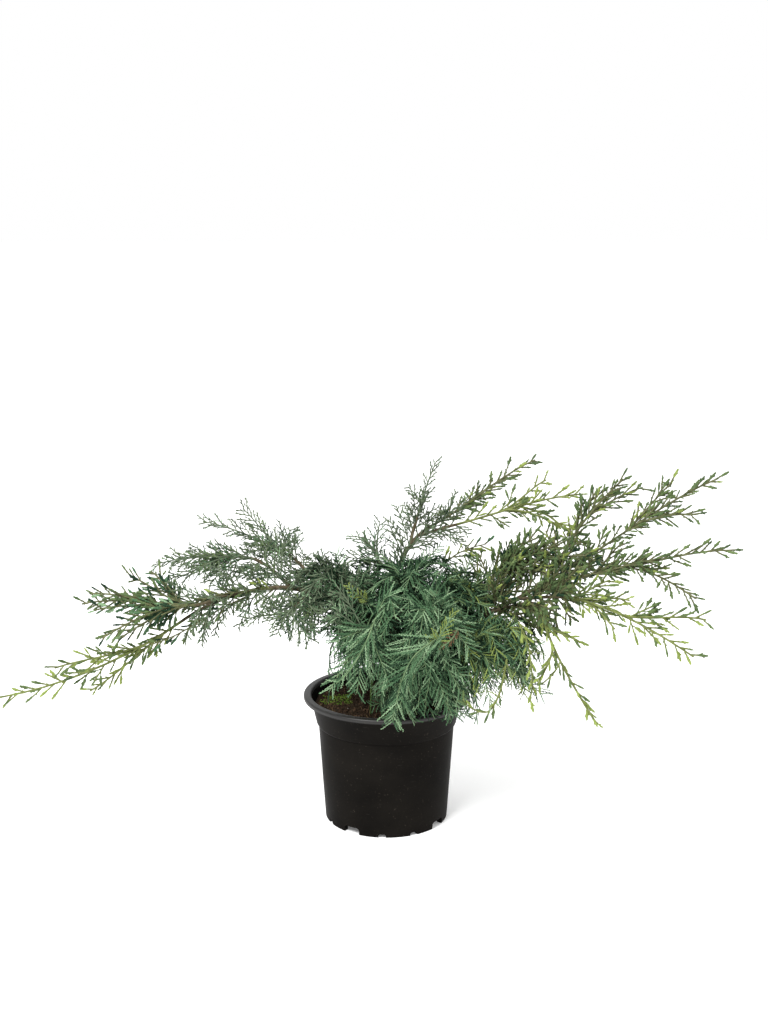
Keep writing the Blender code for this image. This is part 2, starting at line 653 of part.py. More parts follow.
def core_shape(points, face, width, thick, rng):
    """A sleeve round a shoot, pointed at both ends, with points that sweep forward."""
    first, last = CORE_SPAN
    verts = [bezier(points, first)]
    for k in range(CORE_RINGS):
        share = (k + 1) / (CORE_RINGS + 1)
        t = first + (last - first) * share
        centre, along = bezier(points, t), slope(points, t)
        side = along.cross(face).normalized()
        out = side.cross(along)
        full = math.sin(math.pi * share ** 0.85)
        for i in range(CORE_SIDES):
            a = 2 * math.pi * i / CORE_SIDES
            jag = CORE_JAG[(i + k) % 2] * rng.uniform(0.9, 1.1)
            reach = side * (math.cos(a) * width) + out * (math.sin(a) * thick)
            verts.append(centre + reach * (full * jag) + along * ((jag - 1) * thick * CORE_SWEEP))
    verts.append(bezier(points, last))
    tip = len(verts) - 1
    top = 1 + (CORE_RINGS - 1) * CORE_SIDES
    faces = []
    for i in range(CORE_SIDES):
        j = (i + 1) % CORE_SIDES
        faces.append((0, 1 + j, 1 + i))
        for k in range(CORE_RINGS - 1):
            low, high = 1 + k * CORE_SIDES, 1 + (k + 1) * CORE_SIDES
            faces += [(low + i, low + j, high + j), (low + i, high + j, high + i)]
        faces.append((top + i, top + j, tip))
    return verts, faces


def set_cores(name, face, shoots, room):
    """Round each shoot, the largest core that stands clear of the limbs and other masses."""
    made = []
    for number, points in enumerate(shoots):
        width, thick = CORES[name]
        for attempt in range(CORE_TRIES):
            rng = random.Random(f"{name} core {number}")
            size = MM * CORE_SHRINK ** attempt
            shape = core_shape(points, face, width * size, thick * size, rng)
            if room.clear(*shape, name):
                room.add(*shape, name, core=True)
                made.append(shape)
                break
    return made


def fit_spray(root, along, turn, face, size, name, room, rng):
    """The first spray that fits, turned and shortened a little at each try, or none."""
    for attempt in range(TRIES):
        roll = math.radians(rng.uniform(-25, 25) * (1 + attempt))
        normal = (face + face.cross(along) * math.tan(roll) * 0.6).normalized()
        side = along.cross(normal).normalized()
        out = side * math.cos(turn) + side.cross(along) * math.sin(turn)
        lean = math.radians(rng.uniform(*SPRAY_LEAN_DEG))
        heading = (along * math.cos(lean) + out * math.sin(lean)).normalized()
        shape = spray(root, heading, normal, size * (1 - 0.1 * attempt), rng)
        if room.clear(*shape, name, root, SPRAY_NECK + STEM_R):
            room.add(*shape, name)
            return [shape]
    return []


def grow_sprays(points, face, reach, spacing, name, room, rng):
    """Sprays along one shoot: by turns on both sides, or all over the open side of a core."""
    made = []
    turns = SPRAY_TURNS_DEG if name in CORES else SPRAY_TURNS_DEG[:2]
    first, last = SPRAY_SPAN
    count = max(1, int(length_of(points) / spacing))
    for i in range(count):
        share = first + (last - first) * (i + 0.5) / count
        root = on_limb(points, share, SHOOT_STEP)
        size = reach * (1 - SPRAY_FALL * share) * rng.uniform(0.85, 1.1)
        turn = math.radians(turns[i % len(turns)])
        made += fit_spray(root, slope(points, share), turn, face, size, name, room, rng)
    return made


def grow_mass(name, plan, shoots, room):
    """The sprays of one mass."""
    face, reach, spacing = Vector(plan[1]).normalized(), plan[2] * MM, plan[3] * MM
    rng = random.Random(name)
    made = []
    for points in shoots:
        made += grow_sprays(points, face, reach, spacing, name, room, rng)
    return made


def join_mass(name, pieces, colour):
    """One union makes the stem, shoots, core and sprays a single solid."""
    stem = add_object(name, *pieces[0], finish(name, colour, 0.8))
    face_outwards(stem)
    rest = bpy.data.collections.new("rest")
    for verts, faces in pieces[1:]:
        obj = add_object("piece", verts, faces)
        face_outwards(obj)
        bpy.context.collection.objects.unlink(obj)
        rest.objects.link(obj)
    apply_boolean(stem, "UNION", rest)
    for obj in list(rest.objects):
        remove(obj)
    bpy.data.collections.remove(rest)
    keep_part_at(stem, pieces[0][0][0])
    return stem


def main():
    clear_scene()
    pot = make_pot()
    soil = make_soil()
    room = Room()
    for obj in (pot, soil):
        room.add([v.co.copy() for v in obj.data.vertices],
                 [tuple(p.vertices) for p in obj.data.polygons], obj.name)
    curves = make_limbs(room)
    grown = {name: set_shoots(name, plan, curves, room) for name, plan in MASSES.items()}
    for name in CORES:
        shoots, pieces = grown[name]
        pieces += set_cores(name, Vector(MASSES[name][1]).normalized(), shoots, room)
    for name, plan in MASSES.items():
        shoots, pieces = grown[name]
        pieces += grow_mass(name, plan, shoots, room)
    for name, plan in MASSES.items():
        join_mass(name, grown[name][1], plan[4])


main()
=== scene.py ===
"""The looks of a potted hetzii juniper: bark, scale-leaved sprays, soil and a worn plastic pot.

Metres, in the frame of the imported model: +X to the plant's right, +Y to its back, +Z up.
"""
import math

import bmesh
import bpy
import numpy as np
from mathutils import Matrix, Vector, noise


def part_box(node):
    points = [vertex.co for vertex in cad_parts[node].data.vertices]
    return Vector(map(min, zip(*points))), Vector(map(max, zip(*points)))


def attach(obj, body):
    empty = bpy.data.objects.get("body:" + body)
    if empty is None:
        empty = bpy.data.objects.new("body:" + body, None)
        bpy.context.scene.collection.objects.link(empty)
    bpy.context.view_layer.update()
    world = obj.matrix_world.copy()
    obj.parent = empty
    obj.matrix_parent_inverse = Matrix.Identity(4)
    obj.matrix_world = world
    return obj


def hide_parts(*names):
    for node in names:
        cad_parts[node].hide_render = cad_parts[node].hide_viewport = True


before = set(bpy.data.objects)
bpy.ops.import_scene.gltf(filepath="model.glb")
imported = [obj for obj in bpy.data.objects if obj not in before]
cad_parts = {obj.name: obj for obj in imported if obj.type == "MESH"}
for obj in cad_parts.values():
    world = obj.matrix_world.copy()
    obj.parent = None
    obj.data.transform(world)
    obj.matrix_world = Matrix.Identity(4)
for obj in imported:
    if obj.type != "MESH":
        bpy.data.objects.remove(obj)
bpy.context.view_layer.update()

MM = 0.001
BODY = "root"

# Camera: a 50 mm lens, looking down at the plant from the front
LENS_MM = 50
SENSOR_MM = 36
CAMERA_DISTANCE = 1.59
CAMERA_PITCH_DEG = 12.0
CAMERA_AIM = Vector((-0.0027, 0, 0.359))

# Studio: a floor that glows a little, a white sky and soft lights, as place, size and watts
FLOOR_SIZE = 60
FLOOR_COLOUR = (0.93, 0.93, 0.93, 1)
FLOOR_GLOW = 0.12
WHITE = (1, 1, 1, 1)
LIGHTS_AIM = Vector((0, 0, 0.25))
LIGHTS = {
    "key": ((-1.1, -1.7, 2.5), 1.2, 115),
    "fill": ((1.8, -1.2, 1.4), 1.6, 10),
    "back": ((0.2, 2.0, 2.0), 1.8, 14),
}

# Pot, as in the solids
POT_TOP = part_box("pot")[1]
POT_HEIGHT = POT_TOP[2]
RIM_R = POT_TOP[0]
ROUND_SIDES = 160
LIP_WIDTH = 8.6 * MM
LIP_HEIGHT = 6 * MM
LIP_ROUND = 2.2 * MM
LIP_SHEEN_Z = 143 * MM  # above this the plastic is glossier
STEP_Z = 115.5 * MM
STEP_HEIGHT = 3 * MM
COLLAR_FOOT_R = 80.5 * MM
BODY_TOP_R = 78 * MM
BODY_RINGS = 12
BASE_R = 70.6 * MM
BASE_BEVEL = 0.8 * MM
WALL = 1.5 * MM
FLOOR_Z = 9 * MM
FLOOR_THICK = 2 * MM
FOOT_WIDTH = 6.6 * MM
CENTRE_FOOT_R = 12 * MM
NOTCHES = 12
WIDE_NOTCH_EVERY = 3
FIRST_WIDE_NOTCH_DEG = -34
NARROW_NOTCH = (9 * MM, 4 * MM)  # width and height
WIDE_NOTCH = (20 * MM, 8 * MM)
NOTCH_CORNER = 3 * MM
SHARP_ANGLE_DEG = 40

# Soil
SOIL_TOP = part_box("potting_soil")[1][2]
SOIL_EDGE = 133.5 * MM
SOIL_R = 82.6 * MM
SOIL_FOOT_R = SOIL_R - 4 * MM
SOIL_FOOT_Z = SOIL_EDGE - 15 * MM
SOIL_RINGS = 34
SOIL_SIDES = 110
SOIL_LUMPS = 2.2 * MM
MOSS_CENTRE = (-57 * MM, 10 * MM)
MOSS_R = 19 * MM
MOSS_WOBBLE = 10 * MM
STICK_R = 1.1 * MM

# Wood
TRUNK_TOP = Vector((6, 4, 212)) * MM
TRUNK_R = 9 * MM
FORK_R = 7 * MM
FLARE_R = 17 * MM
FLARE_HEIGHT = 14 * MM
TRUNK_EASE = 0.35
GIRTH_FALL = 0.8  # power by which a limb's radius falls from root to tip
BARK_STRIPS = 0.16  # lift of the bark as a share of the limb's radius
BARK_GRAIN = 0.05
BARK_RINGS_MOST = 90

# Shoots
STEM_R = 1.6 * MM
OFFSHOOT_R = STEM_R * 0.75
SIDE_SHOOT_R = STEM_R * 0.5
PLUME_R = STEM_R * 0.45
PLUME_TIP_R = 0.42 * MM
SHOOT_LIFT = 0.06
SHOOT_STEPS = 10
SIDE_SHOOT = (28 * MM, 62 * MM)
SIDE_SHOOT_FALL = 0.25
SIDE_SHOOT_LIFT = 0.05
SIDE_SHOOT_ROLL_DEG = (15, 45)  # mean and spread
SIDE_SPRAYS = 0.75  # their length as a share of the mass's own
OUTER_SPRAY = 31 * MM
INNER_SPRAY = 38 * MM

# Twigs; a spacing is where in its own stretch of the parent a twig or shoot stands
SPACING = (0.2, 0.8)
SPRAY_SPACING = (0.3, 0.7)
SPRAY_LEAN_SPREAD_DEG = 6
SPRAY_BEND_SPREAD = 0.06
TWIG_FALL = 0.72  # how much shorter a twig is near its parent's tip
TWIG_SPREAD_DEG = 16
TWIG_LEAN_SPREAD_DEG = 5
TWIG_VARY = (0.75, 1.2)
TWIG_BEND = (-0.03, 0.05)  # mean and spread
TWIG_LEAST = 1.9 * MM
LEAF_SPREAD_DEG = 20
LEAF_LEAST = 1.8 * MM
LEAF_GIRTH = 0.9  # as a share of a twig's
PLUME_TWIG_R = 1.35  # at its root, as a share of its girth, because it runs to a point
AXIS_STEPS = 3
PLUME_TAPER = 0.45
AXIS_TAPER = -0.1
CLUB_KINDS = 3
CLUB_VARY = (0.62, 1.2)
CLUB_LENGTH = 10.5 * MM
CLUB_R = 1.42 * MM
CLUB_PLUMP = (0.60, 0.85, 1.0, 1.0, 0.90, 0.70)  # radius along a club
CLUB_SWELL = 1.13
CLUB_BEARER_LEAST = 4 * MM  # shorter twigs bear no club


def mm(x, y, z):
    """A place or a stretch given in millimetres."""
    return Vector((x, y, z)) * MM


# The same limbs as the solids: parent, share along it, set-out, tip, arrival, root radius in mm
BOUGHS = {
    "left_bough": ("trunk", 0.84, mm(-62, 0, 92), mm(-222, -76, 254), mm(-70, -22, -46), 4.0),
    "left_fore_bough": ("left_bough", 0.74, mm(-8, -12, 8), mm(-205, -92, 277), mm(-14, -6, 2), 2.4),
    "left_upper_bough": ("left_bough", 0.50, mm(-10, 8, 8), mm(-153, 0, 306), mm(-18, 4, 3), 2.4),
    "left_top_bough": ("left_bough", 0.36, mm(-6, 14, 10), mm(-112, 34, 301), mm(-14, 10, 6), 2.4),
    "left_under_bough": ("left_bough", 0.42, mm(-4, -16, 0), mm(-100, -62, 266), mm(-10, -14, -6), 2.2),
    "rear_bough": ("trunk", 0.86, mm(-8, 46, 66), mm(54, 100, 321), mm(30, 26, 9), 3.9),
    "rear_side_bough": ("rear_bough", 0.82, mm(8, -2, 2), mm(84, 90, 325), mm(16, -3, 5), 2.2),
    "rear_upright_bough": ("rear_bough", 0.70, mm(0, 3, 10), mm(38, 92, 338), mm(3, 4, 12), 2.2),
    "rear_inner_bough": ("rear_bough", 0.44, mm(-6, 6, 6), mm(-10, 52, 291), mm(-3, 10, 6), 2.2),
    "right_bough": ("trunk", 0.73, mm(56, -6, 20), mm(190, -20, 290), mm(46, -4, 30), 4.3),
    "right_top_bough": ("right_bough", 0.90, mm(4, 8, 8), mm(206, 8, 320), mm(8, 4, 14), 2.3),
    "right_outer_bough": ("right_bough", 0.86, mm(10, -10, 3), mm(216, -50, 298), mm(18, -12, 6), 2.3),
    "right_hanging_bough": ("right_bough", 0.74, mm(8, -14, 2), mm(192, -76, 281), mm(18, -16, 2), 2.3),
    "right_trailing_bough": ("right_bough", 0.58, mm(8, -16, 6), mm(164, -94, 274), mm(2, -10, -12), 2.3),
    "right_inner_bough": ("right_bough", 0.50, mm(4, 10, 10), mm(118, 22, 275), mm(10, 6, 12), 2.3),
    "low_right_bough": ("trunk", 0.50, mm(22, -16, 10), mm(84, -74, 226), mm(18, -16, -2), 3.0),
    "crown_bough": ("trunk", 1.00, mm(4, -4, 24), mm(24, 0, 264), mm(4, 2, 18), 3.2),
    "crown_left_bough": ("trunk", 0.64, mm(-22, -2, 22), mm(-38, -14, 250), mm(-10, -6, 12), 2.8),
    "crown_right_bough": ("trunk", 0.86, mm(28, -8, 16), mm(72, -6, 254), mm(14, 2, 10), 2.9),
    "front_bough": ("trunk", 0.78, mm(10, -22, 26), mm(52, -62, 262), mm(10, -18, 4), 2.9),
    "front_left_bough": ("trunk", 0.60, mm(-6, -24, 22), mm(-14, -62, 244), mm(-6, -14, 4), 2.8),
    "front_right_bough": ("trunk", 0.30, mm(12, -20, 12), mm(34, -68, 215), mm(8, -18, 4), 2.7),
    "back_left_bough": ("trunk", 0.64, mm(-18, 24, 16), mm(-48, 82, 236), mm(-12, 20, 6), 3.0),
    "back_right_bough": ("trunk", 0.68, mm(20, 24, 16), mm(62, 84, 234), mm(14, 20, 4), 3.0),
    "back_bough": ("trunk", 0.52, mm(2, 28, 10), mm(8, 96, 208), mm(2, 24, 2), 2.9),
}

# The same masses: bough, facing, length of side sprays in mm, colours, habit, region and tips,
# each with its share along the stem and, where it isn't SHOOT_LIFT, how far it arches over
MASSES = {
    "left_tip_foliage": ("left_bough", (0, -0.75, 0.65), 26, "yellow", "lime", "left", (
        (0, mm(-424, -127, 184), -0.09), (0.06, mm(-322, -84, 178), -0.05),
        (0.20, mm(-346, -138, 222), 0.02))),
    "left_fore_foliage": ("left_fore_bough", (0.1, -0.7, 0.7), 26, "grey", "bud", "left", (
        (0, mm(-335, -40, 264)), (0.10, mm(-297, -130, 252)), (0.22, mm(-318, -72, 284)),
        (0.05, mm(-280, -50, 297)), (0.04, mm(-258, -40, 300)), (0.04, mm(-314, -80, 268)),
        (0.05, mm(-286, -100, 241)))),
    "left_upper_foliage": ("left_upper_bough", (0.1, -0.6, 0.8), 38, "grey", "thread", "left", (
        (0, mm(-264, 18, 294)), (0.12, mm(-206, -56, 306)), (0.08, mm(-238, -16, 284)),
        (0.10, mm(-237, -30, 309)), (0.05, mm(-196, -30, 284)))),
    "left_top_foliage": ("left_top_bough", (0.2, -0.7, 0.6), 38, "grey", "thread", "left", (
        (0, mm(-212, 52, 337)), (0.10, mm(-167, 62, 350)), (0.05, mm(-112, 74, 322)),
        (0.05, mm(-160, 4, 312)))),
    "left_under_foliage": ("left_under_bough", (0, -0.9, 0.4), 36, "grey", "thread", "left", (
        (0, mm(-152, -98, 262)), (0.08, mm(-116, -112, 250)), (0.05, mm(-82, -102, 240)))),
    "rear_tip_foliage": ("rear_bough", (-0.2, -0.8, 0.5), 26, "olive", "bud", "rear", (
        (0, mm(182, 160, 390)), (0.20, mm(150, 176, 366)))),
    "rear_side_foliage": ("rear_side_bough", (-0.1, -0.75, 0.6), 26, "yellow", "lime", "rear", (
        (0, mm(228, 62, 367)), (0.35, mm(190, 108, 375)), (0.40, mm(214, 30, 327)))),
    "rear_upright_foliage": ("rear_upright_bough", (-0.2, -0.9, 0.2), 25, "grey", "thread", "rear", (
        (0, mm(60, 120, 396)), (0.15, mm(26, 112, 366)))),
    "rear_inner_foliage": ("rear_inner_bough", (-0.1, -0.8, 0.5), 36, "blue", "thread", "rear", (
        (0, mm(-8, 72, 333)), (0.10, mm(-36, 78, 314)))),
    "right_tip_foliage": ("right_bough", (-0.2, -0.8, 0.5), 26, "olive", "bud", "right", (
        (0, mm(356, -50, 406)), (0.42, mm(315, -12, 394)), (0.50, mm(330, -74, 372)))),
    "right_top_foliage": ("right_top_bough", (-0.2, -0.9, 0.3), 26, "olive", "bud", "right", (
        (0, mm(264, 2, 396)), (0.12, mm(238, 26, 378)), (0.35, mm(290, 34, 380)))),
    "right_outer_foliage": ("right_outer_bough", (-0.1, -0.7, 0.7), 26, "olive", "bud", "right", (
        (0, mm(360, -112, 342)), (0.30, mm(318, -142, 298)),
        (0.05, mm(288, -100, 329)), (0.04, mm(254, -50, 333)))),
    "right_hanging_foliage": ("right_hanging_bough", (0, -0.85, 0.5), 26, "yellow", "lime", "right", (
        (0, mm(312, -172, 245)), (0.18, mm(240, -118, 258)), (0.45, mm(326, -158, 280)),
        (0.05, mm(254, -120, 290)), (0.04, mm(238, -90, 304)))),
    "right_trailing_foliage": ("right_trailing_bough", (0, -1, 0.1), 12, "yellow", "bare", "right", (
        (0, mm(222, -132, 158), -0.06), (0.12, mm(206, -108, 240)), (0.30, mm(160, -128, 200)))),
    "right_inner_foliage": ("right_inner_bough", (-0.1, -0.8, 0.5), 32, "dusk", "bud", "right", (
        (0, mm(188, 14, 322)), (0.05, mm(146, 2, 302)), (0.10, mm(166, 40, 318)),
        (0.10, mm(192, -20, 326)), (0.05, mm(222, -56, 322)), (0.04, mm(176, -44, 300)))),
    "low_right_foliage": ("low_right_bough", (0.1, -0.95, 0.3), 38, "sunny", "plume", "crown", (
        (0, mm(166, -120, 186)), (0.06, mm(112, -120, 176)), (0.10, mm(160, -100, 232)),
        (0.04, mm(126, -108, 206)))),
    "crown_top_foliage": ("crown_bough", (-0.1, -0.6, 0.8), 34, "blue", "plume", "upper", (
        (0, mm(62, 42, 311)), (0.05, mm(-6, 30, 303)), (0.05, mm(50, -36, 294)),
        (0.04, mm(4, -26, 284)))),
    "crown_left_foliage": ("crown_left_bough", (-0.2, -0.7, 0.7), 34, "blue", "plume", "upper", (
        (0, mm(-56, 26, 306)), (0.05, mm(-86, -30, 268)), (0.05, mm(-66, -58, 240)),
        (0.04, mm(-10, -62, 266)))),
    "crown_right_foliage": ("crown_right_bough", (0.1, -0.7, 0.7), 34, "moss", "plume", "crown", (
        (0, mm(128, -4, 294)), (0.05, mm(98, 34, 300)), (0.05, mm(112, -50, 262)),
        (0.04, mm(80, -58, 272)))),
    "front_foliage": ("front_bough", (0, -1, 0.3), 46, "frond", "plume", "front", (
        (0, mm(7, -116, 154)), (0.04, mm(88, -104, 232)), (0.03, mm(14, -96, 232)),
        (0.03, mm(34, -94, 272)))),
    "front_left_foliage": ("front_left_bough", (-0.1, -0.95, 0.3), 42, "frond", "plume", "front", (
        (0, mm(-62, -96, 181)), (0.05, mm(2, -108, 196)), (0.05, mm(-32, -108, 184)),
        (0.04, mm(-54, -92, 236)))),
    "front_right_foliage": ("front_right_bough", (0.1, -1, 0.2), 36, "frond", "plume", "front", (
        (0, mm(70, -108, 160)), (0.08, mm(34, -112, 168)), (0.06, mm(84, -102, 200)))),
    "back_left_foliage": ("back_left_bough", (-0.2, 0.7, 0.7), 40, "blue", "plume", "back", (
        (0, mm(-112, 176, 226)), (0.05, mm(-58, 170, 250)), (0.05, mm(-110, 84, 226)))),
    "back_right_foliage": ("back_right_bough", (0.2, 0.7, 0.7), 40, "blue", "plume", "back", (
        (0, mm(152, 180, 222)), (0.05, mm(96, 170, 252)), (0.05, mm(140, 84, 222)))),
    "back_foliage": ("back_bough", (0, 0.8, 0.6), 40, "blue", "plume", "back", (
        (0, mm(22, 204, 196)), (0.05, mm(-44, 160, 186)), (0.05, mm(66, 164, 186)))),
}

# The rounded middle of the plant is filled by plumes that lie along these shells:
# habit, centre, radii, number of plumes and the lowest of them as a share of the half height
DOME_SHELLS = (
    ("plume", mm(34, -8, 222), mm(96, 106, 82), 230, -0.45),
    ("plume", mm(-8, 62, 230), mm(46, 52, 44), 40, -0.70),
    ("thread", mm(-66, -22, 268), mm(46, 56, 42), 34, -0.60),
    ("plume", mm(126, -74, 222), mm(38, 42, 42), 40, -0.80),
    ("plume", mm(42, -66, 188), mm(60, 44, 44), 66, -0.75),
)
DOME_REGIONS = ("crown", "upper", "front", "back")
GOLDEN_ANGLE = 2.39996
# Those deeper plumes take the "shade" colours, near-black greens: painted shade on top of the real shade
# they lie in
INNER_EVERY = 3  # each third plume lies deeper in the shell and in the shade
INNER_DEPTH = (0.45, 0.70)
OUTER_DEPTH = (0.76, 1.0)
PLUME_HALF_MM = (24, 38)
PLUME_ROOT_REACH = 45 * MM

# Leafy side shoots on the boughs of a region: habit, colours, gap in mm and span
SIDE_GROWTH = {
    "left": ("thread", "grey", 5.0, (0.18, 0.94)),
    "right": ("bud", "dusk", 4.6, (0.12, 0.96)),
    "rear": ("thread", "grey", 5, (0.30, 0.96)),
}

# Shoots that stand by themselves: habit, colours, mass, side sprays in mm, radius in mm, course
LOOSE_SHOOTS = {
    "trailing_side": ("bare", "olive", "right_trailing_foliage", 9, 1.0, (
        mm(183, -126, 226), mm(176, -125, 212), mm(164, -125, 200))),
    "hanging": ("bare", "yellow", "low_right_foliage", 9, 1.1, (
        mm(140, -104, 262), mm(149, -120, 240), mm(154, -122, 203), mm(152, -122, 179))),
    "hooked": ("bare", "olive", "low_right_foliage", 7, 1.3, (
        mm(128, -108, 222), mm(121, -118, 191), mm(112, -119, 171), mm(103, -118, 166),
        mm(89, -117, 171), mm(81, -116, 180))),
    "arching": ("lime", "yellow", "rear_side_foliage", 12, 1.5, (
        mm(154, 110, 344), mm(188, 92, 337), mm(206, 76, 326), mm(226, 58, 313), mm(246, 28, 294))),
    "along": ("bud", "olive", "left_fore_foliage", 18, 1.1, (
        mm(-122, -36, 280), mm(-152, -56, 283), mm(-188, -76, 282), mm(-228, -92, 270))),
    "along_low": ("bud", "grey", "left_fore_foliage", 16, 1.0, (
        mm(-148, -48, 277), mm(-182, -74, 266), mm(-222, -98, 247), mm(-250, -108, 238))),
    "sprig": ("bud", "sprig", "crown_right_foliage", 18, 1.0, (
        mm(62, 46, 282), mm(80, 54, 296), mm(100, 59, 304), mm(116, 60, 308))),
    "main_plume": ("frond", "frond", "front_foliage", 58, 0.9, (
        mm(64, -96, 248), mm(59, -112, 250), mm(30, -128, 233), mm(16, -132, 206),
        mm(10, -128, 178), mm(6, -118, 157))),
    "low_plume": ("frond", "frond", "front_left_foliage", 40, 0.9, (
        mm(-12, -84, 260), mm(-23, -104, 237), mm(-39, -106, 209), mm(-54, -100, 192))),
    "bright": ("plume", "bright", "front_foliage", 18, 0.8, (
        mm(46, -96, 232), mm(54, -120, 248), mm(62, -128, 264), mm(70, -126, 279))),
    "bright_side": ("plume", "bright", "crown_left_foliage", 13, 0.7, (
        mm(-20, -44, 268), mm(-32, -66, 282), mm(-42, -68, 292))),
    "dead": ("plume", "dead", "front_right_foliage", 10, 0.9, (
        mm(76, -92, 250), mm(68, -114, 245), mm(56, -120, 238))),
}

# How each habit grows: gaps and girths in mm, leans and spread in degrees; a twig and a leaf are
# shares of their parent's length, and leaf_least is the shortest twig in mm that bears leaves.
# Clubs are the stout scaly ends of twigs
HABITS = {
    "plume": dict(gap=2.5, lean=32, girth=0.60, droop=-0.16, spread=15, fall=0.64, vary=(0.72, 1.08),
                  twig_gap=1.7, twig=0.135, twig_lean=32, twig_girth=0.60, leaf_gap=2.4, leaf=0.55,
                  leaf_least=6.5, clubs=False, rib="green", tip_girth=0.42),
    "thread": dict(gap=3.9, lean=35, girth=0.68, droop=-0.03, spread=34, fall=0.64, vary=(0.6, 1.1),
                   twig_gap=4.6, twig=0.48, twig_lean=33, twig_girth=0.62, leaf_gap=4.6, leaf=0.42,
                   leaf_least=10.0, clubs=False, rib="grey", tip_girth=0.55),
    "bud": dict(gap=5.0, lean=32, girth=0.88, droop=0.02, spread=50, fall=0.66, vary=(0.40, 1.15),
                twig_gap=4.3, twig=0.34, twig_lean=33, twig_girth=0.95, leaf_gap=3.4, leaf=0.4,
                leaf_least=6.5, clubs=True, rib="olive", tip_girth=0.95),
}
HABITS["frond"] = dict(HABITS["plume"], gap=3.2, lean=30, spread=24, twig=0.10, vary=(0.85, 1.05))
HABITS["lime"] = dict(HABITS["bud"], gap=6.6, rib="lime")
HABITS["bare"] = dict(HABITS["lime"], gap=6, lean=27, vary=(0.35, 1.0), tip_girth=1.2)

# Foliage colours, dealt out by spray: the share of each near a shoot's root and near its tip. These shares
# paint light and shade: more of the near-black tint near the roots, as painted shade inside the plant, and
# more of the pale tint near the tips, as painted highlight on the outside
TINTS = {
    "blue": {"deep": (0.70, 0.16), "blue": (0.27, 0.50), "pale": (0.03, 0.34)},
    "frond": {"deep": (0.40, 0.08), "blue": (0.45, 0.46), "pale": (0.15, 0.46)},
    "moss": {"deep": (0.60, 0.22), "blue": (0.20, 0.24), "olive": (0.16, 0.30), "pale": (0.04, 0.16),
             "fresh": (0.00, 0.08)},
    # painted shade for the plumes that lie deep inside the plant
    "shade": {"deep": (0.85, 0.75), "blue": (0.15, 0.25)},
    "grey": {"deep": (0.36, 0.16), "dusky": (0.34, 0.34), "blue": (0.16, 0.22), "pale": (0.04, 0.12),
             "olive": (0.10, 0.16)},
    "olive": {"dusky": (0.34, 0.34), "olive": (0.52, 0.54), "fresh": (0.14, 0.12)},
    "dusk": {"dusky": (0.46, 0.42), "deep": (0.12, 0.10), "olive": (0.32, 0.36), "fresh": (0.10, 0.12)},
    "yellow": {"dusky": (0.12, 0.05), "olive": (0.48, 0.40), "fresh": (0.40, 0.55)},
    "sunny": {"deep": (0.36, 0.08), "blue": (0.24, 0.20), "olive": (0.24, 0.30), "pale": (0.10, 0.24),
              "fresh": (0.06, 0.18)},
    "sprig": {"blue": (0.40, 0.30), "olive": (0.35, 0.35), "fresh": (0.25, 0.35)},
    "bright": {"fresh": (1.00, 1.00)},
    "dead": {"dry": (1.00, 1.00)},
}
TINT_COLOURS = {
    # painted shade: near-black greens dealt to sprays inside the plant, where shade falls
    "deep": ((0.004, 0.015, 0.007), (0.022, 0.050, 0.025)),
    "blue": ((0.024, 0.064, 0.029), (0.086, 0.164, 0.082)),
    # partly the foliage's own pale grey-green, partly painted highlight, since it is dealt most to the
    # shoots' tips
    "pale": ((0.080, 0.165, 0.078), (0.240, 0.350, 0.205)),
    "dusky": ((0.028, 0.050, 0.020), (0.092, 0.136, 0.056)),
    "olive": ((0.036, 0.064, 0.022), (0.116, 0.164, 0.062)),
    "fresh": ((0.095, 0.132, 0.028), (0.240, 0.300, 0.082)),
    "dry": ((0.075, 0.038, 0.020), (0.160, 0.092, 0.050)),
}
RIB_COLOURS = {
    "green": ((0.062, 0.106, 0.048), (0.160, 0.228, 0.118)),
    "olive": ((0.052, 0.058, 0.026), (0.126, 0.132, 0.064)),
    "lime": ((0.085, 0.104, 0.030), (0.190, 0.220, 0.078)),
    "grey": ((0.046, 0.066, 0.038), (0.130, 0.164, 0.104)),
}
TINT_SLOT = {
    "deep": "blue_green_foliage", "blue": "blue_green_foliage", "pale": "grey_green_foliage",
    "dusky": "olive_foliage", "olive": "olive_foliage", "fresh": "yellow_green_foliage",
    "dry": "bough_bark",
}


# Curves

def unit(v):
    return v / np.maximum(np.linalg.norm(v, axis=-1, keepdims=True), 1e-9)


def bezier(points, t):
    a, b, c, d = points
    s = 1 - t
    return a * s ** 3 + b * (3 * s * s * t) + c * (3 * s * t * t) + d * t ** 3


def slope(points, t):
    a, b, c, d = points
    s = 1 - t
    return ((b - a) * (s * s) + (c - b) * (2 * s * t) + (d - c) * (t * t)).normalized()


def length_of(points, steps=24):
    places = [bezier(points, i / steps) for i in range(steps + 1)]
    return sum((q - p).length for p, q in zip(places, places[1:]))


def trunk_curve():
    foot = Vector((0, 0, SOIL_TOP))
    rise = TRUNK_TOP - foot
    return foot, foot + Vector((0, 0, rise.z * TRUNK_EASE)), TRUNK_TOP - rise * TRUNK_EASE, TRUNK_TOP


def shoot_curve(start, heading, tip, lift=SHOOT_LIFT):
    """A shoot that sets out along its heading and arches over to its tip."""
    reach = (tip - start).length
    return (start, start + heading * (reach * 0.33),
            tip - (tip - start) * 0.30 + Vector((0, 0, lift * reach)), tip)


def smooth_course(course):
    """One curve from each point of a course to the next."""
    padded = (course[0], *course, course[-1])
    return [(b, b + (c - a) / 6, c - (d - b) / 6, c)
            for a, b, c, d in zip(padded, padded[1:], padded[2:], padded[3:])]


# Materials

BLACK = (0, 0, 0)
DULL_SHEEN = 0.08


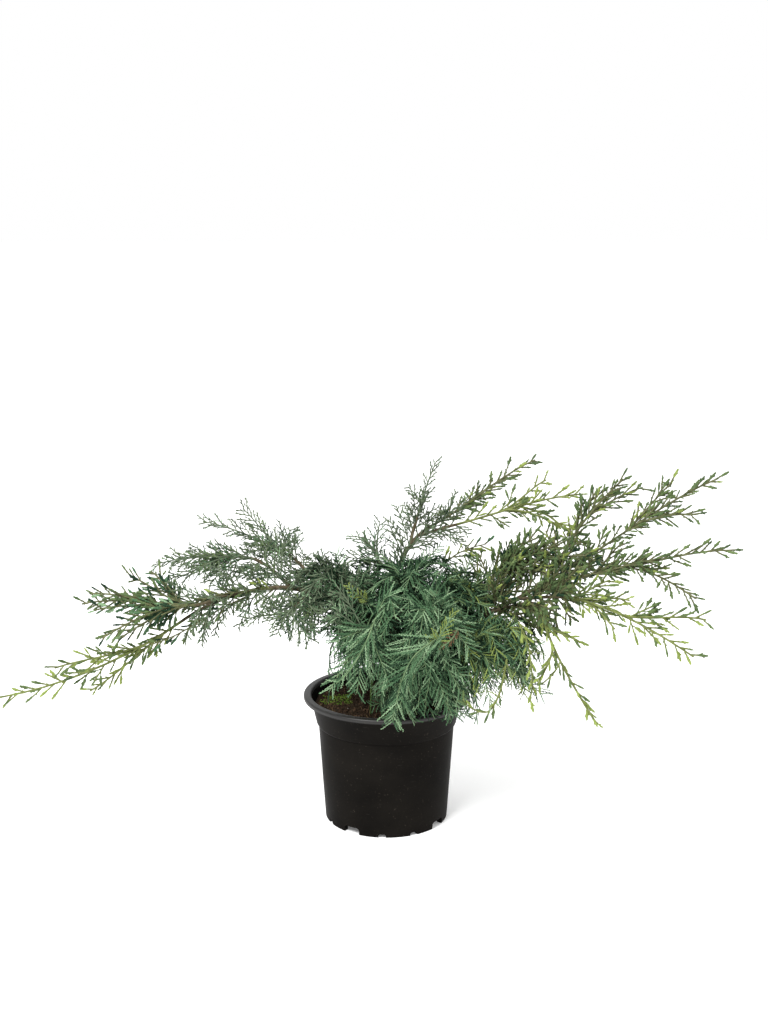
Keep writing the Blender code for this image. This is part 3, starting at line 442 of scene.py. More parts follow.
class Finish:
    """A node material that is put together one node at a time."""

    def __init__(self, name, roughness):
        self.material = bpy.data.materials.new(name)
        self.material.use_nodes = True
        self.nodes = self.material.node_tree.nodes
        self.links = self.material.node_tree.links
        self.shader = self.nodes["Principled BSDF"]
        self.shader.inputs["Roughness"].default_value = roughness
        self.shader.inputs["Specular IOR Level"].default_value = DULL_SHEEN
        self.place = self.nodes.new("ShaderNodeTexCoord").outputs["Object"]

    def node(self, kind, **values):
        """A new node; each value goes to the input of that name, with spaces for underscores."""
        node = self.nodes.new("ShaderNode" + kind)
        for label, value in values.items():
            node.inputs[label.replace("_", " ")].default_value = value
        return node

    def noise(self, scale, detail=3.0, stretch=(1, 1, 1), distortion=0.0):
        mapping = self.node("Mapping", Scale=stretch)
        node = self.node("TexNoise", Scale=scale, Detail=detail, Distortion=distortion)
        self.links.new(self.place, mapping.inputs["Vector"])
        self.links.new(mapping.outputs["Vector"], node.inputs["Vector"])
        return node.outputs["Fac"]

    def ramp(self, value, *stops):
        """Colours for a value; each stop is a place and a colour."""
        node = self.node("ValToRGB")
        node.color_ramp.elements[0].position = stops[0][0]
        node.color_ramp.elements[1].position = stops[-1][0]
        for place, _ in stops[1:-1]:
            node.color_ramp.elements.new(place)
        for element, (_, colour) in zip(node.color_ramp.elements, stops):
            element.color = (*colour, 1)
        self.links.new(value, node.inputs["Fac"])
        return node.outputs["Color"]

    def overlay(self, base, colour, value, start, end, most):
        """A colour over the base, from none where a value is at start to most of it at end."""
        node = self.node("Mix")
        node.data_type = "RGBA"
        factor_in, base_in, colour_in = node.inputs[0], node.inputs[6], node.inputs[7]
        self.links.new(self.ramp(value, (start, BLACK), (end, (most, most, most))), factor_in)
        self.links.new(base, base_in)
        colour_in.default_value = (*colour, 1)
        return node.outputs[2]

    def colour(self, socket):
        self.links.new(socket, self.shader.inputs["Base Color"])

    def rough(self, value, low, high):
        node = self.node("MapRange", To_Min=low, To_Max=high)
        self.links.new(value, node.inputs["Value"])
        self.links.new(node.outputs["Result"], self.shader.inputs["Roughness"])

    def sheen_above(self, height, high, low):
        split = self.node("SeparateXYZ")
        node = self.node("MapRange", From_Min=height, From_Max=height + 1 * MM, To_Min=low, To_Max=high)
        self.links.new(self.place, split.inputs["Vector"])
        self.links.new(split.outputs["Z"], node.inputs["Value"])
        self.links.new(node.outputs["Result"], self.shader.inputs["Specular IOR Level"])

    def bump(self, value, strength, distance):
        node = self.node("Bump", Strength=strength, Distance=distance)
        self.links.new(value, node.inputs["Height"])
        self.links.new(node.outputs["Normal"], self.shader.inputs["Normal"])


def foliage_finish(tint):
    dark, light = TINT_COLOURS[tint]
    finish = Finish(tint + "_scale_leaves", 0.62)
    fine = finish.noise(900, 2)
    base = finish.ramp(finish.noise(60, 2), (0.30, dark), (0.72, light))
    finish.colour(finish.overlay(base, light, fine, 0.42, 0.66, most=0.55))
    finish.bump(fine, 0.35, 0.4 * MM)
    return finish.material


def bark_finish():
    finish = Finish("shredding_bark", 0.86)
    strips = finish.noise(210, 5, (1, 1, 0.22), 0.6)
    base = finish.ramp(strips, (0.30, (0.036, 0.028, 0.016)), (0.52, (0.066, 0.054, 0.032)),
                       (0.72, (0.130, 0.110, 0.070)))
    finish.colour(finish.overlay(base, (0.108, 0.094, 0.058), finish.noise(700, 3), 0.35, 0.75, most=0.5))
    finish.bump(strips, 0.7, 0.8 * MM)
    return finish.material


def rib_finish(rib):
    low, high = RIB_COLOURS[rib]
    finish = Finish(rib + "_shoots", 0.65)
    finish.colour(finish.ramp(finish.noise(120, 3), (0.30, low), (0.70, high)))
    finish.bump(finish.noise(800, 2), 0.3, 0.3 * MM)
    return finish.material


def plastic_finish():
    finish = Finish("dusty_black_plastic", 0.42)
    cloud = finish.noise(14, 4, (1, 1, 1.6))
    specks = finish.noise(520, 1)
    scratches = finish.noise(90, 2, (1, 1, 9), 0.3)
    base = finish.ramp(cloud, (0.30, (0.0040, 0.0036, 0.0032)), (0.70, (0.0085, 0.0074, 0.0062)))
    dusty = finish.overlay(base, (0.150, 0.125, 0.100), specks, 0.70, 0.80, most=0.22)
    finish.colour(finish.overlay(dusty, (0.110, 0.100, 0.090), scratches, 0.71, 0.80, most=0.16))
    finish.rough(cloud, 0.34, 0.56)
    finish.sheen_above(LIP_SHEEN_Z, 0.40, 0.015)
    finish.bump(finish.noise(260, 3), 0.10, 0.3 * MM)
    return finish.material


def soil_finish():
    finish = Finish("damp_and_shaded_potting_soil", 0.94)
    fine = finish.noise(420, 4)
    # the soil's own damp dark brown, darkened further overall as painted shade under the foliage
    base = finish.ramp(fine, (0.28, (0.006, 0.004, 0.003)), (0.55, (0.028, 0.017, 0.010)),
                       (0.78, (0.075, 0.047, 0.028)))
    finish.colour(finish.overlay(base, (0.042, 0.032, 0.016), finish.noise(45, 4), 0.45, 0.75, most=0.5))
    finish.bump(fine, 0.9, 1.5 * MM)
    return finish.material


def plain_finish(name, low, high, roughness):
    finish = Finish(name, roughness)
    value = finish.noise(300, 3)
    finish.colour(finish.ramp(value, (0.30, low), (0.70, high)))
    finish.bump(value, 0.4, 0.5 * MM)
    return finish.material


# Geometry Nodes

def new_tree(name, **inputs):
    """A tree with geometry in and out, the given inputs and the material."""
    tree = bpy.data.node_groups.new(name, "GeometryNodeTree")
    for label, kind in {"Geometry": "Geometry", **inputs, "Material": "Material"}.items():
        tree.interface.new_socket(label, in_out="INPUT", socket_type="NodeSocket" + kind)
    tree.interface.new_socket("Geometry", in_out="OUTPUT", socket_type="NodeSocketGeometry")
    return tree, tree.nodes.new("NodeGroupInput"), tree.nodes.new("NodeGroupOutput")


def wire(tree, *links):
    """Each link is a node, its output, the next node and its input."""
    for source, output, target, socket in links:
        tree.links.new(source.outputs[output], target.inputs[socket])


def attribute(tree, kind, name):
    node = tree.nodes.new("GeometryNodeInputNamedAttribute")
    node.data_type = kind
    node.inputs["Name"].default_value = name
    return node


def close_tree(tree, last, output, group_in, group_out):
    """Every tree ends by making its instances real and giving them their material."""
    real = tree.nodes.new("GeometryNodeRealizeInstances")
    paint = tree.nodes.new("GeometryNodeSetMaterial")
    wire(tree, (last, output, real, "Geometry"), (real, "Geometry", paint, "Geometry"),
         (group_in, "Material", paint, "Material"), (paint, "Geometry", group_out, "Geometry"))
    return tree


def twig_tree():
    """A twig model on every point, turned along its heading and across its face, and sized."""
    tree, start, end = new_tree("twigs_on_points", Model="Object")
    model = tree.nodes.new("GeometryNodeObjectInfo")
    turn = tree.nodes.new("FunctionNodeAxesToRotation")
    turn.primary_axis = "Z"
    turn.secondary_axis = "X"
    place = tree.nodes.new("GeometryNodeInstanceOnPoints")
    wire(tree, (start, "Model", model, "Object"), (model, "Geometry", place, "Instance"),
         (start, "Geometry", place, "Points"), (turn, "Rotation", place, "Rotation"),
         (attribute(tree, "FLOAT_VECTOR", "heading"), "Attribute", turn, "Primary Axis"),
         (attribute(tree, "FLOAT_VECTOR", "across"), "Attribute", turn, "Secondary Axis"),
         (attribute(tree, "FLOAT_VECTOR", "size"), "Attribute", place, "Scale"))
    return close_tree(tree, place, "Instances", start, end)


def limb_tree():
    """A round tapering limb along every edge path, as thick as its girth attribute."""
    tree, start, end = new_tree("limbs_on_paths", Sides="Int")
    curve = tree.nodes.new("GeometryNodeMeshToCurve")
    ring = tree.nodes.new("GeometryNodeCurvePrimitiveCircle")
    sweep = tree.nodes.new("GeometryNodeCurveToMesh")
    smooth = tree.nodes.new("GeometryNodeSetShadeSmooth")
    ring.inputs["Radius"].default_value = 1.0
    sweep.inputs["Fill Caps"].default_value = True
    wire(tree, (start, "Geometry", curve, "Mesh"), (start, "Sides", ring, "Resolution"),
         (curve, "Curve", sweep, "Curve"), (ring, "Curve", sweep, "Profile Curve"),
         (attribute(tree, "FLOAT", "girth"), "Attribute", sweep, "Scale"),
         (sweep, "Mesh", smooth, "Geometry"))
    return close_tree(tree, smooth, "Geometry", start, end)


def scatter_tree():
    """Loose bits strewn over a surface, each turned and sized at random from one seed."""
    tree, start, end = new_tree("bits_on_surface", Model="Object", Density="Float", Smallest="Float",
                                Largest="Float", Seed="Int")
    model = tree.nodes.new("GeometryNodeObjectInfo")
    spread = tree.nodes.new("GeometryNodeDistributePointsOnFaces")
    turn = tree.nodes.new("FunctionNodeRandomValue")
    size = tree.nodes.new("FunctionNodeRandomValue")
    place = tree.nodes.new("GeometryNodeInstanceOnPoints")
    turn.data_type = "FLOAT_VECTOR"
    turn.inputs["Max"].default_value = (math.tau, math.tau, math.tau)
    float_min, float_max, float_value = 2, 3, 1  # sockets of a random value that is one number
    wire(tree, (start, "Model", model, "Object"), (start, "Geometry", spread, "Mesh"),
         (start, "Density", spread, "Density"), (start, "Seed", spread, "Seed"),
         (start, "Seed", turn, "Seed"), (start, "Seed", size, "Seed"),
         (start, "Smallest", size, float_min), (start, "Largest", size, float_max),
         (spread, "Points", place, "Points"), (model, "Geometry", place, "Instance"),
         (turn, "Value", place, "Rotation"), (size, float_value, place, "Scale"))
    return close_tree(tree, place, "Instances", start, end)


def grown(name, base_mesh, tree, **values):
    """Run a tree on a mesh and keep the plain result as a new object."""
    base = placed(name + "_base", base_mesh)
    modifier = base.modifiers.new("grow", "NODES")
    modifier.node_group = tree
    for item in tree.interface.items_tree:
        if item.in_out == "INPUT" and item.name in values:
            modifier[item.identifier] = values[item.name]
    graph = bpy.context.evaluated_depsgraph_get()
    mesh = bpy.data.meshes.new_from_object(base.evaluated_get(graph))
    mesh.name = name
    bpy.data.objects.remove(base, do_unlink=True)
    return placed(name, mesh)


# Meshes

def placed(name, data):
    """A new object in the scene."""
    obj = bpy.data.objects.new(name, data)
    bpy.context.collection.objects.link(obj)
    return obj


def mesh_with(name, verts, edges=(), faces=(), **attributes):
    mesh = bpy.data.meshes.new(name)
    mesh.from_pydata([tuple(v) for v in verts], [tuple(e) for e in edges], list(faces))
    for label, values in attributes.items():
        values = np.asarray(values, dtype=np.float32)
        kind, field = ("FLOAT", "value") if values.ndim == 1 else ("FLOAT_VECTOR", "vector")
        layer = mesh.attributes.new(label, kind, "POINT")
        layer.data.foreach_set(field, values.ravel())
    return mesh


def closed_mesh(name, verts, faces):
    """A mesh whose faces all point outwards."""
    mesh = mesh_with(name, verts, faces=faces)
    bm = bmesh.new()
    bm.from_mesh(mesh)
    bmesh.ops.recalc_face_normals(bm, faces=bm.faces)
    bm.to_mesh(mesh)
    bm.free()
    return mesh


def add_mesh(name, verts, faces, material):
    mesh = closed_mesh(name, verts, faces)
    mesh.materials.append(material)
    mesh.shade_smooth()
    return placed(name, mesh)


def mesh_from(name, bm):
    mesh = bpy.data.meshes.new(name)
    bm.to_mesh(mesh)
    bm.free()
    return mesh


def join_objects(name, parts, material):
    """Join plain meshes that share one material."""
    bm = bmesh.new()
    for part in parts:
        bm.from_mesh(part.data)
        bpy.data.objects.remove(part, do_unlink=True)
    for face in bm.faces:
        face.material_index = 0
    mesh = mesh_from(name, bm)
    mesh.materials.append(material)
    return placed(name, mesh)


def settle(obj, slot, *nodes):
    """The piece rides on the plant's one body and stands for its solids."""
    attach(obj, BODY)
    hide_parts(*nodes)


def dress(obj):
    """The piece rides on the plant's one body, in addition to its solids."""
    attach(obj, BODY)


# Twig models

def twig_rings(centre_at, radius_at, rings, sides, swell):
    """Verts and faces of a twig; alternate rings turn and swell like scale leaves."""
    last_ring_at = 0.9
    verts, faces = [], []
    for k in range(rings):
        t = k / (rings - 1)
        centre, r = centre_at(t * last_ring_at), radius_at(t) * (swell if k % 2 else 1 / swell)
        for i in range(sides):
            a = math.tau * (i + 0.5 * (k % 2)) / sides
            verts.append(centre + Vector((r * math.cos(a), r * math.sin(a), 0)))
    faces.append(tuple(reversed(range(sides))))
    for k in range(rings - 1):
        a, b = sides * k, sides * (k + 1)
        for i in range(sides):
            j = (i + 1) % sides
            if k % 2 == 0:
                faces += [(a + i, a + j, b + i), (a + j, b + j, b + i)]
            else:
                faces += [(a + i, b + j, b + i), (a + i, a + j, b + j)]
    verts.append(centre_at(1))
    top = sides * (rings - 1)
    faces += [(top + i, top + (i + 1) % sides, len(verts) - 1) for i in range(sides)]
    return verts, faces


def scaled_twig(name, rings, swell, tip_share):
    """A three-sided twig of unit length and radius."""
    return bpy.data.objects.new(name, closed_mesh(name, *twig_rings(
        lambda t: Vector((0, 0, t)), lambda t: 1 - (1 - tip_share) * t * t, rings, 3, swell)))


def pointed_twig(name):
    """A plain three-sided twig of unit length that runs to a point, for the many on plumes."""
    ring = [(PLUME_TWIG_R * math.cos(a), PLUME_TWIG_R * math.sin(a), 0)
            for a in (math.tau * i / 3 for i in range(3))]
    faces = [(0, 2, 1), (0, 1, 3), (1, 2, 3), (2, 0, 3)]
    return bpy.data.objects.new(name, closed_mesh(name, [*ring, (0, 0, 1)], faces))


def club(name, seed):
    """A stout knobby end of a twig, CLUB_LENGTH long, with two or three side knobs."""
    rng = np.random.default_rng(seed)
    parts = [(Vector((0, 0, 0)), Vector((0, 0, 1)), CLUB_LENGTH, CLUB_R, 6, 4)]
    for k in range(2 + seed % 2):
        turn = rng.uniform(0, math.tau)
        way = Vector((math.cos(turn), math.sin(turn), 1.7)).normalized()
        parts.append((Vector((0, 0, CLUB_LENGTH * (0.10 + 0.22 * k))), way,
                      CLUB_LENGTH * rng.uniform(0.32, 0.45), CLUB_R * 0.75, 4, 3))
    verts, faces = [], []
    plump_at = np.linspace(0, 1, len(CLUB_PLUMP))
    for root, way, length, radius, rings, sides in parts:
        turned_way = way.to_track_quat("Z", "X")
        new_verts, new_faces = twig_rings(
            lambda t: Vector((0, 0, length * t)),
            lambda t: radius * float(np.interp(t, plump_at, CLUB_PLUMP)), rings, sides, CLUB_SWELL)
        base = len(verts)
        verts += [root + turned_way @ v for v in new_verts]
        faces += [tuple(base + i for i in f) for f in new_faces]
    return bpy.data.objects.new(name, closed_mesh(name, verts, faces))


# Growth

def joined(groups):
    groups = [group for group in groups if len(group["length"])]
    return {key: np.concatenate([group[key] for group in groups]) for key in groups[0]}


def only(twigs, keep):
    return {key: value[keep] for key, value in twigs.items()}


def empty_twigs():
    return {key: [] for key in ("place", "heading", "face", "length", "girth", "bend", "tint")}


def sprays_on(points, facing, reach, habit, tints, span, rng):
    """First-order sprays by turns along one shoot or bough."""
    first, last = span
    count = max(2, int(length_of(points) * (last - first) / (habit["gap"] * MM)))
    names = list(tints)
    ends = np.array([tints[name] for name in names])
    twigs = empty_twigs()
    up = np.array(facing) / np.linalg.norm(facing)
    for i in range(count):
        at = first + (last - first) * (i + rng.uniform(*SPRAY_SPACING)) / count
        along = np.array(slope(points, at))
        side = np.cross(along, up)
        side /= np.linalg.norm(side) + 1e-9
        roll = math.radians(rng.normal(0, habit["spread"]))
        out = side * math.cos(roll) * (1 if i % 2 else -1) + up * math.sin(roll)
        lean = math.radians(habit["lean"] + rng.normal(0, SPRAY_LEAN_SPREAD_DEG))
        heading = along * math.cos(lean) + out * math.sin(lean)
        heading = heading / np.linalg.norm(heading)
        face = np.cross(np.cross(heading, up), heading)
        chances = ends[:, 0] * (1 - at) + ends[:, 1] * at
        twigs["place"].append(np.array(bezier(points, at)))
        twigs["heading"].append(heading)
        twigs["face"].append(face / (np.linalg.norm(face) + 1e-9))
        twigs["length"].append(reach * (1 - habit["fall"] * at) * rng.uniform(*habit["vary"]))
        twigs["girth"].append(habit["girth"])
        twigs["bend"].append(habit["droop"] + rng.normal(0, SPRAY_BEND_SPREAD))
        twigs["tint"].append(names[rng.choice(len(names), p=chances / chances.sum())])
    return {key: np.array(value) for key, value in twigs.items()}


def children(parent, gap, span, lean_deg, share, girth, spread_deg, least, rng):
    """The next order of twigs, by turns on both sides of every parent twig."""
    first, last = span
    count = np.maximum(1, np.round(parent["length"] * (last - first) / gap)).astype(int)
    index = np.repeat(np.arange(len(count)), count)
    order = np.arange(len(index)) - np.repeat(np.cumsum(count) - count, count)
    at = first + (last - first) * (order + rng.uniform(*SPACING, len(index))) / count[index]
    length, bend = parent["length"][index], parent["bend"][index]
    heading, face = parent["heading"][index], parent["face"][index]
    place = parent["place"][index] + heading * (length * at)[:, None]
    place += face * (bend * length * at * at)[:, None]
    along = unit(heading + face * (2 * bend * at)[:, None])
    side = unit(np.cross(along, face))
    hand = np.where(order % 2 == 0, 1.0, -1.0)
    roll = np.radians(rng.normal(0, spread_deg, len(index)))
    out = side * (hand * np.cos(roll))[:, None] + face * np.sin(roll)[:, None]
    lean = np.radians(lean_deg + rng.normal(0, TWIG_LEAN_SPREAD_DEG, len(index)))
    new_heading = unit(along * np.cos(lean)[:, None] + out * np.sin(lean)[:, None])
    size = length * share * (1.0 - TWIG_FALL * at) * rng.uniform(*TWIG_VARY, len(index))
    return {
        "place": place, "heading": new_heading,
        "face": unit(np.cross(np.cross(new_heading, face), new_heading)),
        "length": np.maximum(size, least), "girth": np.full(len(index), girth),
        "bend": rng.normal(*TWIG_BEND, len(index)), "tint": parent["tint"][index],
    }


def ends_of(twigs, rng):
    """The far end of every twig, as places for clubs."""
    at, bend_at = 0.96, 0.92
    length, bend = twigs["length"], twigs["bend"]
    place = twigs["place"] + twigs["heading"] * (length * at)[:, None]
    place = place + twigs["face"] * (bend * length * bend_at)[:, None]
    heading = unit(twigs["heading"] + twigs["face"] * (2 * bend)[:, None])
    return dict(twigs, place=place, heading=heading,
                length=CLUB_LENGTH * rng.uniform(*CLUB_VARY, len(length)))


def finer(habit, sprays, rng):
    """The sprays, the second and third order of twigs on them, and the clubs at their ends."""
    lean, girth = habit["twig_lean"], habit["twig_girth"]
    twigs = children(sprays, habit["twig_gap"] * MM, (0.10, 0.98), lean, habit["twig"], girth,
                     TWIG_SPREAD_DEG, TWIG_LEAST, rng)
    bearers = only(twigs, twigs["length"] > habit["leaf_least"] * MM)
    leaves = children(bearers, habit["leaf_gap"] * MM, (0.15, 0.95), lean, habit["leaf"],
                      girth * LEAF_GIRTH, LEAF_SPREAD_DEG, LEAF_LEAST, rng)
    clubs = empty_twigs()
    if habit["clubs"]:
        stout = only(twigs, twigs["length"] > CLUB_BEARER_LEAST)
        clubs = joined([ends_of(sprays, rng), ends_of(stout, rng)])
    return sprays, twigs, leaves, clubs


def path_mesh(name, twigs, taper):
    """Edge paths along bent twigs, with their girth."""
    s = np.linspace(0, 1, AXIS_STEPS + 1)
    length, bend = twigs["length"][:, None], twigs["bend"][:, None]
    along = twigs["place"][:, None, :] + twigs["heading"][:, None, :] * (length * s)[:, :, None]
    verts = (along + twigs["face"][:, None, :] * (bend * length * s * s)[:, :, None]).reshape(-1, 3)
    girth = (twigs["girth"][:, None] * MM * (1 - taper * s)).ravel()
    start = (np.arange(len(length)) * (AXIS_STEPS + 1))[:, None] + np.arange(AXIS_STEPS)
    edges = np.stack([start, start + 1], -1).reshape(-1, 2)
    return mesh_with(name, verts.tolist(), edges=edges.tolist(), girth=girth)


def point_mesh(name, twigs, even):
    """Places for twig models: unit models take girth and length, clubs are sized evenly."""
    girth = twigs["girth"] * MM
    size = np.stack([girth, girth, twigs["length"]], -1)
    if even:
        size = np.repeat((twigs["length"] / CLUB_LENGTH)[:, None], 3, axis=1)
    return mesh_with(name, twigs["place"].tolist(), heading=twigs["heading"],
                     across=np.cross(twigs["heading"], twigs["face"]), size=size)


def stem_of(name, curves):
    bearer = curves[MASSES[name][0]]
    tip, *lift = MASSES[name][6][0][1:]
    return shoot_curve(bearer[3], slope(bearer, 1), tip, *lift)


def dome_plumes(curves):
    """Plumes spread evenly over each shell, grown from the mass whose own shoot comes nearest."""
    stems = {name: stem_of(name, curves) for name, plan in MASSES.items() if plan[5] in DOME_REGIONS}
    rng = np.random.default_rng(7)
    shared = {}
    for habit_name, centre, radii, plumes, lowest in DOME_SHELLS:
        for k in range(plumes):
            inner = k % INNER_EVERY == 0
            z = 1 - (1 - lowest) * (k + 0.5) / plumes
            turn = k * GOLDEN_ANGLE + rng.normal(0, 0.15)
            flat = math.sqrt(1 - z * z)
            way = Vector((flat * math.cos(turn), flat * math.sin(turn), z))
            far = rng.uniform(*(INNER_DEPTH if inner else OUTER_DEPTH))
            mid = centre + Vector([w * r for w, r in zip(way, radii)]) * far
            down = Vector((rng.normal(way.x * 0.9, 0.32), rng.normal(way.y * 0.6, 0.2), -1.0 - 0.2 * z))
            along_shell = (down - way * down.dot(way) * 0.8).normalized()
            name = min(stems, key=lambda n: min((bezier(stems[n], t / 6) - mid).length for t in range(7)))
            bearer = curves[MASSES[name][0]]
            roots = [bezier(c, t) for c in (stems[name], bearer) for t in (0.05, 0.25, 0.5, 0.75)]
            root = min(roots, key=lambda place: abs((place - mid).length - PLUME_ROOT_REACH))
            half = rng.uniform(*PLUME_HALF_MM) * MM
            rise = Vector((0, 0, 0.25 * (mid - root).length))
            points = (root, root + (mid - root) * 0.5 + rise,
                      mid - along_shell * half * 0.6 + way * 8 * MM, mid + along_shell * half)
            shared.setdefault(name, []).append((habit_name, points, (way.x, way.y, way.z + 0.15), inner))
    return shared


def side_shoots(bearer, facing, gap, span, rng):
    """Short leafy shoots by turns along a bough."""
    up = Vector(facing).normalized()
    first, last = span
    count = int(length_of(bearer) * (last - first) / gap)
    found = []
    for i in range(count):
        at = first + (last - first) * (i + rng.uniform(*SPACING)) / count
        start, along = bezier(bearer, at), slope(bearer, at)
        side = along.cross(up).normalized() * (1 if i % 2 else -1)
        roll = math.radians(rng.normal(*SIDE_SHOOT_ROLL_DEG))
        way = (along * 0.85 + side * math.cos(roll) + up * math.sin(roll)).normalized()
        tip = start + way * rng.uniform(*SIDE_SHOOT) * (1 - SIDE_SHOOT_FALL * at)
        found.append(shoot_curve(start, (way + along * 0.4).normalized(), tip, SIDE_SHOOT_LIFT))
    return found


def grow_mass(number, name, curves, dome):
    """Every shoot of one mass with its sprays, as growths of one habit each."""
    bough, facing, reach, tints, own_habit, region, tips = MASSES[name]
    rng = np.random.default_rng(100 + number)
    reach *= MM
    bearer, stem = curves[bough], stem_of(name, curves)
    growths = {}

    def leafy(habit_name, points, girth, way, length, colours, span, **changes):
        shoots, sprays = growths.setdefault(habit_name, ([], []))
        shoots.append((points, *girth))
        habit = dict(HABITS[habit_name], **changes)
        sprays.append(sprays_on(points, way, length, habit, TINTS[colours], span, rng))

    tip_r = HABITS[own_habit]["tip_girth"] * MM
    leafy(own_habit, stem, (STEM_R, tip_r), facing, reach, tints, (0.03, 0.99))
    for share, tip, *lift in tips[1:]:
        start = bezier(stem, share)
        heading = (slope(stem, share) + (tip - start).normalized()).normalized()
        points = shoot_curve(start, heading, tip, *lift)
        leafy(own_habit, points, (OFFSHOOT_R, tip_r), facing, reach, tints, (0.05, 0.99))
    for habit_name, points, way, inner in dome.get(name, ()):
        # inner plumes take the "shade" colours: painted shade
        length, colours = (INNER_SPRAY, "shade") if inner else (OUTER_SPRAY, tints)
        leafy(habit_name, points, (PLUME_R, PLUME_TIP_R), way, length, colours, (0.18, 0.99))
    habit_name, colours, gap, span = SIDE_GROWTH.get(region, ("plume", tints, 9, (0.45, 0.98)))
    for points in side_shoots(bearer, facing, gap * MM, span, rng):
        leafy(habit_name, points, (SIDE_SHOOT_R, HABITS[habit_name]["tip_girth"] * MM), facing,
              reach * SIDE_SPRAYS, colours, (0.10, 0.99))
    for habit_name, colours, owner, length, start_r, course in LOOSE_SHOOTS.values():
        if owner == name:
            habit, parts = HABITS[habit_name], smooth_course(course)
            for k, points in enumerate(parts):
                thick = [start_r * (1 - 0.12 * n) * MM for n in (k, k + 1)]
                near, far = (1 - habit["fall"] * n / len(parts) for n in (k, k + 1))
                leafy(habit_name, points, thick, (0, -1, 0.2), length * near * MM, colours,
                      (0.02, 0.98), fall=1 - far / near, spread=habit["spread"] * 0.6)
    return growths, rng


def grow_foliage(curves, limbs):
    """All the masses, gathered by region for their sprays and by rib colour for their shoots."""
    dome = dome_plumes(curves)
    regions = {}
    stems = {rib: ([], []) for rib in RIB_COLOURS}
    for number, name in enumerate(MASSES):
        growths, rng = grow_mass(number, name, curves, dome)
        for habit_name, (shoots, parts) in growths.items():
            habit, sprays = HABITS[habit_name], joined(parts)
            rib_shoots, rib_axes = stems[habit["rib"]]
            rib_shoots.extend(shoots)
            if habit["clubs"] or habit_name == "thread":
                rib_axes.append(sprays)
            regions.setdefault(MASSES[name][5], []).append((name, habit_name, finer(habit, sprays, rng)))
    make_sprays(regions, limbs)
    make_shoots(stems, limbs)


def make_sprays(regions, limbs):
    """One piece for each region and tint: axes of plumes, twigs, scale leaves and clubs."""
    on_points = twig_tree()
    tooth = scaled_twig("tooth", 2, 1.10, 0.65)
    other_models = {"thread": scaled_twig("thread", 4, 1.12, 0.75), "plume": pointed_twig("point")}
    clubs = [club(f"club_{k}", k) for k in range(CLUB_KINDS)]
    finishes = {tint: foliage_finish(tint) for tint in TINT_COLOURS}
    for region, masses in regions.items():
        for tint, material in finishes.items():
            parts = []
            for _, habit_name, orders in masses:
                sprays, twigs, leaves, ends = [
                    only(group, group["tint"] == tint) if len(group["length"]) else group
                    for group in orders]
                if habit_name in ("plume", "frond") and len(sprays["length"]):
                    parts.append(grown("axes", path_mesh("axes", sprays, PLUME_TAPER), limbs,
                                       Sides=3, Material=material))
                model = other_models.get(habit_name, tooth)
                kinds = [(model, twigs, False), (model, leaves, False)]
                kinds += [(clubs[k], only(ends, slice(k, None, CLUB_KINDS)), True)
                          for k in range(CLUB_KINDS)]
                parts += [grown("twigs", point_mesh("twigs", group, even), on_points,
                                Model=model, Material=material)
                          for model, group, even in kinds if len(group["length"])]
            if parts:
                piece = join_objects(f"{region}_{tint}_sprays", parts, material)
                settle(piece, TINT_SLOT[tint], *sorted({name for name, *_ in masses}))


def make_shoots(stems, limbs):
    """One piece for each rib colour: its shoots, and the axes of threads and bud sprays."""
    for rib, (shoots, axes) in stems.items():
        material = rib_finish(rib)
        verts, edges, girth = [], [], []
        for points, root_r, tip_r in shoots:
            base = len(verts)
            for i in range(SHOOT_STEPS + 1):
                t = i / SHOOT_STEPS
                verts.append(bezier(points, t))
                girth.append(root_r + (tip_r - root_r) * t ** GIRTH_FALL)
            edges += [(base + i, base + i + 1) for i in range(SHOOT_STEPS)]
        paths = mesh_with("shoot_paths", verts, edges, girth=girth)
        parts = [grown("shoots", paths, limbs, Sides=6, Material=material)]
        if axes:
            paths = path_mesh("axes", joined(axes), AXIS_TAPER)
            parts.append(grown("axes", paths, limbs, Sides=4, Material=material))
        settle(join_objects(f"{rib}_shoots", parts, material), "olive_foliage", *MASSES)


# Wood

def bark_tube(points, radius_at, sides, step):
    """A limb whose skin is lifted into long shredding strips."""
    count = min(BARK_RINGS_MOST, max(8, int(length_of(points) / step)))
    verts, faces = [], []
    side = slope(points, 0).orthogonal().normalized()
    for k in range(count + 1):
        t = k / count
        centre, d = bezier(points, t), slope(points, t)
        side = (side - d * side.dot(d)).normalized()
        up = d.cross(side)
        r = radius_at(t)
        for i in range(sides):
            a = math.tau * i / sides
            out = side * math.cos(a) + up * math.sin(a)
            strips = noise.fractal(out * 2.6 + d * (t * 3.0) + Vector((t, t, t)) * 4, 0.9, 2.1, 4)
            grain = noise.noise(centre * 420 + out * 5)
            verts.append(centre + out * (r * (1 + BARK_STRIPS * strips + BARK_GRAIN * grain)))
    for k in range(count):
        a, b = k * sides, (k + 1) * sides
        for i in range(sides):
            j = (i + 1) % sides
            faces.append((a + i, a + j, b + j, b + i))
    faces.append(tuple(reversed(range(sides))))
    faces.append(tuple(range(count * sides, (count + 1) * sides)))
    return verts, faces


def trunk_radius(t):
    height = (TRUNK_TOP.z - SOIL_TOP) * t
    flare = max(0.0, 1 - height / FLARE_HEIGHT) ** 2
    return TRUNK_R + (FORK_R - TRUNK_R) * t + (FLARE_R - TRUNK_R) * flare


def make_trunk(bark):
    verts, faces = bark_tube(trunk_curve(), trunk_radius, 40, 0.9 * MM)
    settle(add_mesh("bark_trunk", verts, faces, bark), "trunk_bark", "trunk")


